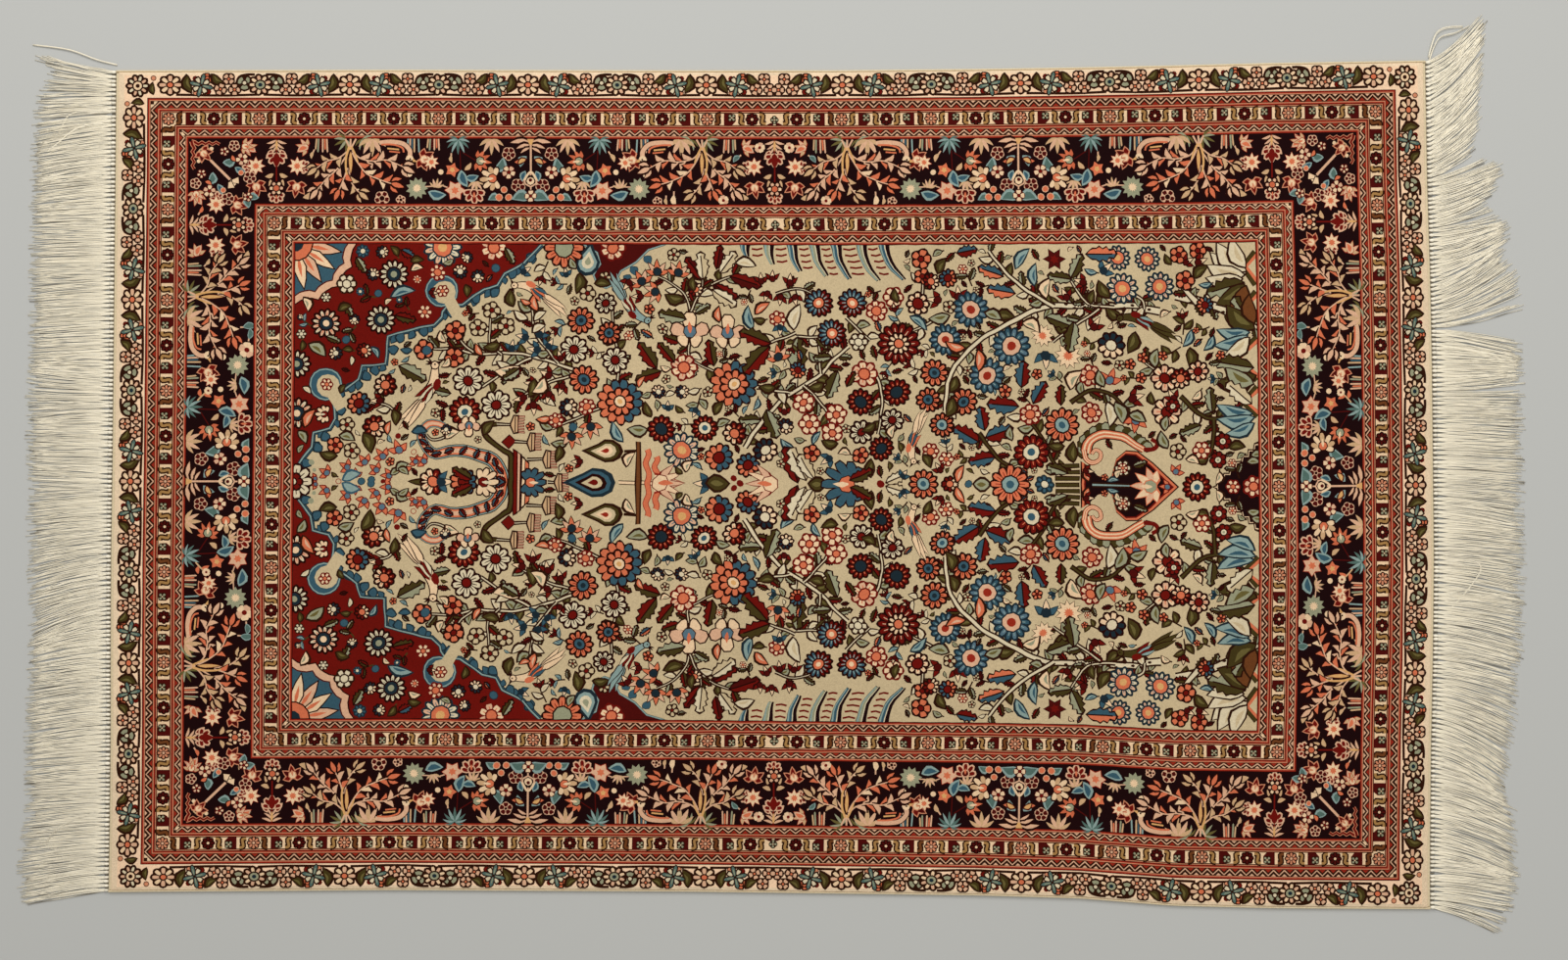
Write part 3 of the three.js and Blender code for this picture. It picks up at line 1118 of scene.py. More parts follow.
@dataclass(frozen=True)
class OuterBorder:
    """The pale outermost band with rosettes, cross flowers, leaves and small blossoms."""

    depth: float = 29.3

    ROSETTE = Bloom(8, Silk.BLUSH, Silk.CORAL, Silk.BROWN, Silk.CREAM, tip=0.7, core=0.2, squeeze=0.86,
                    rim=2.9, gap=2.9)
    WHEEL = Bloom(9, Silk.CREAM, Silk.SAGE, Silk.BROWN, Silk.BLUSH, Silk.INK_BLUE, core=0.34, squeeze=0.88,
                  rim=2.9, gap=2.9)
    CORNER_FLOWER = Bloom(10, Silk.BLUSH, Silk.CREAM, Silk.BROWN, Silk.PALE, Silk.BROWN, gap=2.6)
    BLOSSOM = Bloom(4, Silk.BLUSH, Silk.CORAL, Silk.BROWN, tip=0.9, core=0.16, fill=1.1, bold=0.29)
    CROSS = Cross(Silk.TEAL, Silk.SAGE, Silk.PALE)
    CORAL_LOBE = Bloom(3, Silk.CORAL, Silk.CORAL, Silk.BROWN, tip=0.9, core=0.3, bold=0.3)
    RED_LOBE = Dot(Silk.CRIMSON, Silk.BROWN)
    PINK_LOBE = Dot(Silk.PINK, Silk.BROWN)
    OLIVE_LEAF = Leaf(Silk.OLIVE, Silk.BROWN, Silk.MOSS, 0.44, 0.16, 2.4)
    GREY_LEAF = Bloom(3, Silk.SAGE, Silk.PALE, Silk.BROWN, Silk.SAGE, tip=0.3, core=0.2, bold=0.27)

    # The motifs from one rosette to the wheel 91 knots on: motif, along, inwards, size, turn.
    UNIT = (
        (OLIVE_LEAF, 17.0, 6.5, 17.5, 74.0),
        (CORAL_LOBE, 37.5, 9.5, 6.6, 20.0),
        (RED_LOBE, 25.5, 9.5, 3.0, 0.0),
        (PINK_LOBE, 26.0, 24.0, 3.2, 0.0),
        (RED_LOBE, 38.5, 23.0, 3.4, 0.0),
        (CROSS, 31.5, 16.5, 11.6, 14.0),
        (OLIVE_LEAF, 43.0, 5.5, 14.5, 38.0),
        (BLOSSOM, 51.0, 20.5, 7.6, 20.0),
        (BLOSSOM, 59.5, 10.0, 7.4, 45.0),
        (BLOSSOM, 65.5, 21.0, 7.4, 0.0),
        (GREY_LEAF, 75.5, 14.0, 9.2, 90.0),
    )
    EDGE = 6.0  # the width of the plain strip along the rug's edge
    LINE = 16.0  # how far in from the edge the rosettes and wheels stand
    LONG_START = 52.5  # from the corner to the long side's first rosette
    SHORT_START = 50.0  # the same on the short side
    SPACING = 183.0  # from rosette to rosette on the long side

    def draw(self, run: Run) -> None:
        """Draw the band along one side."""
        run.strip(0.0, self.EDGE, Silk.EDGE_CREAM)
        run.strip(self.EDGE, self.depth, Silk.ROSE_CREAM)
        pen = run.pen(0)
        first = run.half - (self.LONG_START if run.long_side else self.SHORT_START)
        spacing = self.SPACING if run.long_side else first / 2
        places = [first - spacing * i for i in range(4 if run.long_side else 3)]
        for place in places:
            for side in (-1, 1):
                if place + side * 60 < first + 10 and place + side * 60 > -50:
                    self.half_unit(pen, place, side, place - spacing < -spacing * 0.4 and side < 0)
            self.ROSETTE.draw(pen.at(place, self.LINE), 13.8)
        for place in places[:-1]:
            self.WHEEL.draw(pen.at(place - spacing / 2, self.LINE), 13.6)
        self.corner(pen.at(run.half, 0), run.long_side)

    def half_unit(self, pen: Pen, place: float, side: int, short: bool) -> None:
        """Draw what stands between a rosette and the next wheel.

        Args:
            pen: stands at the rug's edge, at the middle of the side.
            place: where the rosette is.
            side: -1 towards the side's middle, 1 towards its corner.
            short: whether the side's middle comes before a wheel does.
        """
        local = pen.at(place, 0)
        if side < 0:
            local = local.mirrored()
        local.line([(6, 26.2), (20, 26.4), (42, 27.0), (60, 27.0), (88, 26.2)], 2.6, Silk.BROWN)
        if not short:
            local.line(bow([(67, 16), (70, 8), (78, 5.5), (86, 5.5)], 3), 2.8, Silk.BROWN)
        plant(local, self.UNIT[:-1] if short else self.UNIT)

    def corner(self, pen: Pen, long_side: bool) -> None:
        """Draw the end of a side up to the rosette in the corner.

        Args:
            pen: stands at the rug's corner.
            long_side: whether the side is a long one.
        """
        self.OLIVE_LEAF.draw(pen.at(-35.5, 25, -88), 11)
        self.PINK_LOBE.draw(pen.at(-35.5, 9), 3.0)
        if long_side:
            self.CORNER_FLOWER.draw(pen.at(-19.5, 17), 12.8)


@dataclass(frozen=True)
class MainBorder:
    """The dark main border, with small trees, birds and flowers that grow in from its outer line."""

    start: float = 72.0
    end: float = 138.4

    LILY = Fan(5, Silk.BONE, Silk.CREAM, Silk.RED, Silk.BLUSH, Silk.CORAL, 150, rim=1.0)
    CREAM_PALMETTE = Fan(7, Silk.CREAM, Silk.CORAL, Silk.MAROON, Silk.BONE, Silk.CREAM, 200, 0.5)
    ORANGE_LOTUS = Fan(7, Silk.ORANGE, Silk.SAGE, Silk.MAROON, Silk.CORAL, Silk.CREAM, 190, 0.0)
    RED_LOTUS = Fan(5, Silk.CRIMSON, Silk.CREAM, Silk.PINK, Silk.GARNET, Silk.PINK, 190)
    DARK_LOTUS = Fan(5, Silk.CRIMSON, Silk.GARNET, Silk.BLUSH, None, Silk.CORAL, 150, 0.5)
    THISTLE = StarFlower(11, Silk.SAGE, Silk.CREAM, None, 0.7)
    CREAM_STAR = StarFlower(8, Silk.CREAM, Silk.CORAL, Silk.RED, 0.55)
    CORAL_STAR = StarFlower(6, Silk.BLUSH, Silk.CORAL, Silk.RED, 0.62)
    CORAL_FLOWER = StarFlower(5, Silk.CORAL, Silk.GOLD, None, 0.6)
    FILLING = Filling((
        Sprig(Leaf(Silk.BONE, width=0.5), Dot(Silk.CORAL, Silk.BLUSH), Silk.BLUSH),
        Sprig(Leaf(Silk.TEAL, Silk.SKY, width=0.5), Dot(Silk.CREAM), Silk.BLUSH),
        Sprig(Leaf(Silk.CORAL, width=0.5), Bloom(5, Silk.CREAM, Silk.CRIMSON, None), Silk.BONE),
        Sprig(Leaf(Silk.BLUSH, width=0.44), Bloom(5, Silk.PINK, Silk.GARNET, None), Silk.BLUSH),
    ), (
        Single(Leaf(Silk.BONE), Silk.BLUSH), Single(Leaf(Silk.TEAL, Silk.SKY, rim=0.9), Silk.BLUSH),
        Single(Leaf(Silk.CORAL), Silk.BLUSH),
        Bloom(5, Silk.GARNET, Silk.MAROON, Silk.BLUSH, tip=0.8, rim=1.0),
        Single(Leaf(Silk.CREAM), Silk.BLUSH), Bloom(5, Silk.CREAM, Silk.CRIMSON, None, Silk.BLUSH),
    ), (9.5, 8.0, 6.5, 5.2), 3.4, 8)
    OUTLINED = Bloom(5, Silk.GARNET, Silk.MAROON, Silk.BLUSH, tip=0.8, core=0.22, fill=1.2, rim=1.1)
    CREAM_BLOOM = Bloom(5, Silk.CREAM, Silk.CRIMSON, Silk.GARNET, Silk.BLUSH, tip=0.8, core=0.24, fill=1.1,
                        rim=1.1)
    SQUARE_BLOOM = Bloom(4, Silk.CREAM, Silk.CRIMSON, Silk.GARNET, tip=0.9, core=0.22, fill=1.1, rim=1.1)
    PINK_DOT = Dot(Silk.CORAL, Silk.BLUSH)
    CREAM_DOT = Dot(Silk.CREAM)
    TEAL_LEAF = Leaf(Silk.TEAL, Silk.SKY, width=0.5, curl=0.2)
    BLUE_LEAF = Leaf(Silk.BLUE, Silk.SKY, width=0.4)
    BONE_LEAF = Leaf(Silk.BONE, Silk.MAROON, width=0.5)
    CORAL_LEAF = Leaf(Silk.CORAL, Silk.MAROON, width=0.5)
    BLUE_TUFT = Tuft(9, Silk.TEAL, Silk.SKY, 210)
    SAGE_TUFT = Tuft(6, Silk.SAGE, Silk.MOSS, 150)
    CREAM_TUFT = Tuft(5, Silk.BONE, Silk.BLUSH, 120, 0.26)
    GREY_BARS = Bars((Silk.SKY, Silk.NAVY, Silk.BONE, Silk.BLUE, Silk.BLUSH, Silk.SKY))
    RED_BARS = Bars((Silk.BLUSH, Silk.CORAL, Silk.BLUSH, Silk.GARNET, Silk.SAGE, Silk.BONE))
    STROKE = Leaf(Silk.BLUSH, Silk.MAROON, width=0.24, curl=0.08)

    BOUGHS = (
        Bough(((2, 12), (10, 20), (24, 23), (38, 22), (54, 29)), 9, Silk.BLUSH, Silk.CORAL, size=12.4),
        Bough(((2, 14), (8, 25), (17, 36), (30, 42), (42, 46)), 8, Silk.CORAL, Silk.CREAM, size=12.4),
        Bough(((-1, 30), (0, 42), (6, 52), (9, 55)), 4, Silk.BONE, Silk.CREAM, size=11.6),
        Bough(((-3, 30), (-6, 40), (-11, 52)), 4, Silk.CORAL, Silk.BLUSH, size=11.6),
        Bough(((-3, 16), (-14, 32), (-25, 42), (-33, 52)), 8, Silk.BLUSH, Silk.CORAL, size=12.0),
        Bough(((-2, 12), (-12, 20), (-24, 23), (-34, 30)), 7, Silk.BONE, Silk.CORAL, size=11.6),
    )
    # Motif, knots from the tree towards the border's bud, knots inwards, size, turn.
    TOWARDS_BUD = (
        (SAGE_TUFT, 13, 0, 12, 60),
        (CREAM_TUFT, 23, 0, 17, 90),
        (GREY_BARS, 66, 0, 12, 90),
        (RED_BARS, 87, 0, 10, 90),
        (RED_LOTUS, 80, 22, 8, 20),
        (CREAM_STAR, 85, 24, 7, 10),
        (BLUE_TUFT, 113, 1, 14, 90),
        (CORAL_FLOWER, 107, 32, 7, 0),
        (CREAM_DOT, 62, 36, 3, 0),
        (CREAM_DOT, 95, 34, 2.6, 0),
        (THISTLE, 70, 51, 10.5, 0),
        (BLUE_LEAF, 84, 55, 13, 10),
        (CREAM_TUFT, 90, 50, 9, -80),
        (CORAL_STAR, 110, 53, 9.5, 0),
        (BLUE_LEAF, 117, 34, 13, 70),
        (BLUE_LEAF, 122, 40, 10, -10),
        (BONE_LEAF, 120, 32, 9, -50),
        (CREAM_TUFT, 131, 44, 10, 80),
        (DARK_LOTUS, 130, 58, 7, 90),
        (ORANGE_LOTUS, 139, 23, 8.5, 8),
        (TEAL_LEAF, 153, 32, 12, -60),
        (CREAM_PALMETTE, 146, 41, 9, 175),
        (CREAM_TUFT, 148, 0, 15, 90),
        (OUTLINED, 166, 15, 6.6, 18),
        (CREAM_BLOOM, 166, 34, 6.8, 90),
        (OUTLINED, 176, 48, 6.9, 18),
        (PINK_DOT, 161, 52, 3.3, 0),
        (PINK_DOT, 166, 60, 3.4, 0),
        (TEAL_LEAF, 156, 61, 9, 170),
        (PINK_DOT, 156, 60, 3.6, 0),
        (STROKE, 188, 3, 18, 178),
        (STROKE, 188, 6, 13, 165),
        (STROKE, 188, 9, 10, 150),
        (TEAL_LEAF, 184, 19, 9, 120),
        (BLUE_LEAF, 183, 34, 8, 105),
        (CORAL_LEAF, 180, 25, 7, 190),
        (Leaf(Silk.GOLD, Silk.GARNET), 184, 21, 8, 150),
        (TEAL_LEAF, 187, 61, 14, 176),
    )
    # Motif, knots from the border's stem, knots inwards, size, turn.
    BESIDE_STEM = (
        (STROKE, 0, 1, 11, 20),
        (STROKE, 0, 4, 10, 38),
        (STROKE, 1, 8, 8, 60),
        (LILY, 27, 8, 7.5, -165),
        (Leaf(Silk.CORAL, Silk.BLUSH), 31, 9, 9, 160),
        (RED_BARS, 46, 0, 13, 90),
        (Leaf(Silk.CRIMSON, Silk.BLUSH), 5, 12, 9, 55),
        (DARK_LOTUS, 29, 29, 4.5, 0),
        (CREAM_STAR, 21, 28, 9.4, 0),
        (BONE_LEAF, 3, 36, 9, 20),
        (BONE_LEAF, 6, 42, 7, 75),
        (RED_LOTUS, 20, 52, 8, 100),
        (Leaf(Silk.BONE, width=0.6, curl=0.25), 27, 61, 9, -40),
    )
    # The same, from the border's outer corner along one side of it; the other side mirrors it.
    BESIDE_CORNER = (
        (CREAM_DOT, 23, 10, 2.0, 0),
        (Leaf(Silk.BONE, width=0.3), 22, 11, 12, 178),
        (CREAM_BLOOM, 36, 13, 5.2, 0),
        (OUTLINED, 46, 7, 6.0, 18),
        (LILY, 59, 8, 7.0, 10),
        (TEAL_LEAF, 36, 24, 11, -20),
        (CREAM_BLOOM, 54, 21, 7.0, 30),
        (CORAL_LEAF, 44, 17, 7, 60),
        (OUTLINED, 62, 40, 6.8, 18),
        (BLUE_LEAF, 48, 30, 9, 20),
        (PINK_DOT, 53, 35, 3.0, 0),
        (TEAL_LEAF, 70, 61, 10, 170),
    )

    FAN = 89.0  # knots from the border's outer corner to the stem nearest to it
    TREE = 74.0  # knots from a stem to the tree beside it
    LONG_BUD = 250.0  # knots from the long side's middle to its bud
    LONG_TREE = 435.0  # and to the tree beyond that
    BUD_SPACING = 189.0  # knots from tree to bud at which TOWARDS_BUD stands as listed

    def draw(self, run: Run) -> None:
        """Draw the border along one side."""
        run.strip(self.start, self.end, Silk.NAVY)
        pen = run.pen(self.start)
        corner = run.half - self.start
        fan = corner - self.FAN
        if run.long_side:
            buds, trees, stems = (self.LONG_BUD,), (self.TREE, self.LONG_TREE), (0.0, fan)
        else:
            buds, trees, stems = (0.0,), (fan - self.TREE,), (fan,)
        for bud in buds:
            for tree in trees:
                if abs(tree - bud) < 200:
                    self.towards_bud(pen, tree, bud)
                    if bud == 0.0:
                        self.towards_bud(pen, -tree, bud)
            self.bud(pen.at(bud, 0))
        for stem in stems:
            for side in (-1, 1):
                local = pen.at(stem, 0)
                rows = self.BESIDE_STEM
                if side < 0:
                    local = local.mirrored()
                if stem == fan and side > 0:
                    rows = tuple(row for row in rows if row[0] is not self.RED_BARS)
                plant(local, rows)
            self.stem(pen.at(stem, 0))
        for tree in trees:
            local = pen.at(tree, 0)
            self.tree(local.mirrored() if tree > buds[0] else local)
        self.corner(pen.at(corner, 0), run.long_side)

    def towards_bud(self, pen: Pen, tree: float, bud: float) -> None:
        """Draw what grows between a tree and the bud beside it.

        Args:
            pen: stands on the border's outer line, at the middle of the side.
            tree: where the tree is.
            bud: where the bud is.
        """
        share = abs(bud - tree) / self.BUD_SPACING
        local = pen.at(tree, 0)
        if bud <= tree:
            local = local.mirrored()
        local.line([(115 * share, 12), (116 * share, 34), (124 * share, 46)], 1.2, Silk.GARNET)
        local.line([(118 * share, 14), (134 * share, 24)], 1.2, Silk.GARNET)
        local.line([(70 * share, 50), (96 * share, 48), (110 * share, 53)], 1.2, Silk.BLUSH)
        plant(local, self.TOWARDS_BUD, 1.1, share)
        self.bird(local.at(30, 2))

    def bird(self, pen: Pen) -> None:
        """Draw a bird that bends down from the outer line, its tail at the pen's origin."""
        back = bow([(0, 2), (12, 1), (24, 3), (31, 10), (31, 17)])
        pen.line(back, 6.2, Silk.MAROON, 1.0)
        pen.line(back, 4.2, Silk.BLUSH, 1.1)
        pen.line(bow([(2, 4), (14, 4), (23, 7), (25, 12)]), 1.8, Silk.CORAL)
        pen.line([(8, 8), (20, 9)], 1.6, Silk.GOLD)
        pen.line([(10, 11), (21, 12)], 1.5, Silk.CORAL)
        pen.at(31, 19).fill(ring(4.2, 8), Silk.CREAM)
        pen.at(34, 20).fill([(0, -2), (5, 1.8), (0, 1.6)], Silk.GOLD)
        pen.at(31.5, 19).fill(ring(1.1, 5), Silk.NAVY)

    def tree(self, pen: Pen) -> None:
        """Draw a tree that grows from the outer line, its fuller side along the pen's right."""
        self.SAGE_TUFT.draw(pen.at(-4, 1, 140), 14)
        for bough in self.BOUGHS:
            bough.draw(pen, 1.0)
        for foot in (-5, 0.5, 6):
            pen.line([(foot, 0), (foot * 0.45, 6), (0, 11)], 1.8, Silk.BLUSH)
        pen.line(bow([(-1, 8), (-4, 18), (-4.5, 30), (-3, 37)]), 2.6, Silk.GOLD, 0.6)
        pen.line(bow([(1, 8), (5, 16), (8, 24)]), 2.2, Silk.GOLD, 0.6)
        pen.at(0.5, 12, 90).fill(blade(26, 5.2), Silk.GARNET)
        pen.at(0.5, 13, 90).fill(blade(23, 3.6), Silk.GOLD)

    def stem(self, pen: Pen) -> None:
        """Draw the dark-red stem that stands between two like halves."""
        pen.line([(0, 0), (0, 48)], 1.6, Silk.CRIMSON)
        self.DARK_LOTUS.draw(pen.at(0, 20, 90), 7)
        pen.at(0, 14, 90).fill(blade(16, 7.5), Silk.CRIMSON)
        self.DARK_LOTUS.draw(pen.at(0, 60, 90), 5.5)
        Bloom(6, Silk.CREAM, Silk.ORANGE, Silk.MAROON, Silk.BLUSH).draw(pen.at(0, 51), 8.6)
        pen.at(0, 1, 90).fill(blade(11, 2.6), Silk.GOLD)

    def bud(self, pen: Pen) -> None:
        """Draw the gold stem with the arched bud and the square blossom."""
        pen.line([(0, 0), (0, 37)], 1.9, Silk.BLUSH)
        pen.fill([(-3.4, 0), (3.4, 0), (1.2, 6), (-1.2, 6)], Silk.GOLD)
        pen.line(bow([(-6.5, 43), (-3.5, 37), (0, 33.5), (3.5, 37), (6.5, 43)], 3), 2.2, Silk.CREAM)
        pen.line([(-6.2, 42), (-5.4, 46), (0, 49), (5.4, 46), (6.2, 42)], 1.6, Silk.BLUSH)
        pen.at(0, 43).fill(ring(4.0, 8), Silk.CREAM)
        pen.at(0, 42).fill(ring(2.0, 6), Silk.GARNET)
        pen.line([(0, 49), (0, 54)], 1.4, Silk.BLUSH)
        self.SQUARE_BLOOM.draw(pen.at(0, 58.5), 6.6)

    def corner(self, pen: Pen, long_side: bool) -> None:
        """Draw one half of the corner, and on the long side the diagonal stem too.

        Args:
            pen: stands at the border's outer corner.
            long_side: whether the side is a long one.
        """
        local = pen.mirrored()
        plant(local, self.BESIDE_CORNER)
        if not long_side:
            return
        for mirrored in (local, Pen(local.chart, local.origin, local.up, local.right)):
            frill = [(2.5, 2.5)] + [(6 + 3.6 * i, 3.4 + 2.2 * (i % 2)) for i in range(8)]
            mirrored.lines(frill, ((4.2, Silk.PINK), (2.6, Silk.CRIMSON)), 0.7)
        self.RED_LOTUS.draw(local.at(16.5, 16.5, 45), 7)
        local.line([(22, 22), (42, 42)], 2.6, Silk.BLUSH)
        for turn, x, y in ((45, 42, 42), (0, 43, 43), (90, 43, 43)):
            local.at(x, y, turn).fill([(0, -1), (8, -4.4), (9, 3.6), (1, 3)], Silk.MAROON)
            local.at(x, y, turn).fill([(1, -0.4), (7.4, -3.4), (8, 3), (2, 2.4)], Silk.CREAM)
        self.CREAM_BLOOM.draw(local.at(60, 60), 5.5)


class BorderChart:
    """The chart of one quarter of all the borders."""

    BANDS = (
        OuterBorder(),
        GuardStripe(29.3, 44.2),
        MinorBorder(44.2, 58.1, 6.5, 4.0),
        GuardStripe(58.1, 72.0, True),
        MainBorder(),
        GuardStripe(138.4, 151.7),
        MinorBorder(151.7, 166.2, 5.5, 3.0),
        GuardStripe(166.2, 180.6, True),
    )
    INNER = 180.6

    @classmethod
    def draw(cls) -> Chart:
        """Draw every band along the quarter's long and short side."""
        length, width = CHART_HALF_LENGTH, CHART_HALF_WIDTH - SIDE_MARGIN
        inner = (length - cls.INNER, CHART_HALF_WIDTH - cls.INNER)
        ground = [(inner[0], 0), (length, 0), (length, width), (0, width), (0, inner[1]), inner]
        chart = Chart(ground, Silk.ROSE_CREAM)
        for band in cls.BANDS:
            for long_side in (False, True):
                band.draw(Run(chart, long_side))
            if isinstance(band, MainBorder):
                inner, outer = band.end + 2, band.start + 2
                low, high = CHART_HALF_WIDTH - inner, CHART_HALF_WIDTH - outer
                band.FILLING.draw(chart, (0, low), (length - outer, high), 250)
                band.FILLING.draw(chart, (length - inner, 0), (length - outer, high), 160)
        edge_strips(chart, length, width)
        return chart


def edge_strips(chart: Chart, length: float, width: float) -> None:
    """Lay narrow strips of plain silk where the pile rounds off at the rug's edge.

    Args:
        chart: the borders' chart.
        length: the pile's half length in knots.
        width: the pile's half width in knots.
    """
    for depth in (ROUNDING / KNOT, ROUNDING / KNOT * 0.3):
        side = [(0, width - depth), (length, width - depth), (length, width), (0, width)]
        end = [(length - depth, 0), (length, 0), (length, width), (length - depth, width)]
        chart.fill(divided(side, 12.0), Silk.EDGE_CREAM)
        chart.fill(divided(end, 12.0), Silk.EDGE_CREAM)


@dataclass(frozen=True)
class LeafPair:
    """A leaf with saw-toothed edges, each of its halves in a silk of its own."""

    left: Silk
    right: Silk
    edge: Silk = Silk.MAROON
    width: float = 0.5
    teeth: int = 4

    def draw(self, pen: Pen, length: float) -> None:
        """Draw the leaf from its foot, as long as said."""
        for side, ink in ((1, self.left), (-1, self.right)):
            for grow, silk in ((1.9, self.edge), (0.0, ink)):
                outline = [(-grow, 0.0)]
                for i in range(self.teeth):
                    share = (i + 0.5) / self.teeth
                    bulge = math.sin(math.pi * (share * 0.8 + 0.12))
                    reach = side * (length * self.width / 2 * bulge + grow)
                    outline.append((length * share * 0.9, reach * 0.72))
                    outline.append((length * (share + 0.32 / self.teeth), reach))
                outline += [(length + grow * 1.4, 0.0)]
                pen.fill(outline, silk)
        pen.line([(0, 0), (length * 0.9, 0)], 1.4, self.edge)


@dataclass(frozen=True)
class Drop:
    """A teardrop of rings one inside the other, its point along the pen's right direction."""

    inks: tuple[Silk, ...]
    squeeze: float = 0.62

    def draw(self, pen: Pen, length: float) -> None:
        """Draw the teardrop, as long as said."""
        for i, ink in enumerate(self.inks):
            size = length / 2 * (1 - i / len(self.inks))
            outline = [(size * 1.25, 0.0)]
            for turn in range(40, 330, 35):
                a = math.radians(turn)
                outline.append((size * (math.cos(a) * 0.75 - 0.15), size * self.squeeze * math.sin(a)))
            pen.at(length * 0.04, 0).fill(outline, ink)


@dataclass(frozen=True)
class Bird:
    """A small bird with striped wings and a long tail, its head along the pen's right direction."""

    body: Silk
    wing: Silk
    breast: Silk
    edge: Silk = Silk.MAROON

    def draw(self, pen: Pen, size: float) -> None:
        """Draw the bird, its size from breast to the root of the tail."""
        pen = pen.at(0, 0, 0, size / 20)
        for turn, reach in ((172, 34), (180, 38), (188, 33)):
            Leaf(self.body, self.edge, width=0.14, curl=0.03, rim=1.0).draw(pen.at(-4, 0, turn), reach)
        neck = bow([(-6, 0), (4, 1), (12, 5), (17, 9)], 3)
        pen.line(neck, 11.5, self.edge, 0.5)
        pen.line(neck, 9.2, self.body, 0.44)
        pen.at(6, -1.5, 20).fill(ring(5.2, 8, squeeze=0.6), self.breast)
        for i in range(4):
            Leaf(self.wing if i % 2 else self.breast, self.edge, width=0.2, curl=0.05, rim=0.7).draw(
                pen.at(4 - i, 2.5 - 1.3 * i, 168 + 7 * i), 17 - i)
        pen.at(17.5, 9.5).rings(((4.0, self.edge), (2.9, self.body)), 8)
        pen.at(20, 9).fill([(0, 1.6), (6, -2.2), (0, -1.6)], self.edge)
        pen.at(18, 10).fill(ring(0.9, 5), self.edge)
        for turn in (70, 100, 130):
            pen.at(17, 12, turn).fill(blade(6, 1.6), self.edge)


@dataclass(frozen=True)
class Candles:
    """A cup with a row of candles like a comb, standing along the pen's right direction."""

    def draw(self, pen: Pen, half: float) -> None:
        """Draw the cup and its candles, half as wide as said."""
        pen.fill([(0, -2), (3, -half - 1), (9, -half), (9, half), (3, half + 1), (0, 2)], Silk.MAROON)
        pen.fill([(1.6, -1), (4.0, -half + 0.6), (7.4, -half + 1.6), (7.4, half - 1.6), (4.0, half - 0.6),
                  (1.6, 1)], Silk.BONE)
        pen.line([(5, -half + 1), (5, half - 1)], 1.1, Silk.MAROON)
        count = 6
        for i in range(count):
            y = half * (2 * (i + 0.5) / count - 1)
            pen.fill([(8.5, y - 1.2), (15, y - 1.2), (15, y + 1.2), (8.5, y + 1.2)], Silk.CRIMSON)
            pen.line([(9, y), (14.2, y)], 0.7, Silk.BLUSH)


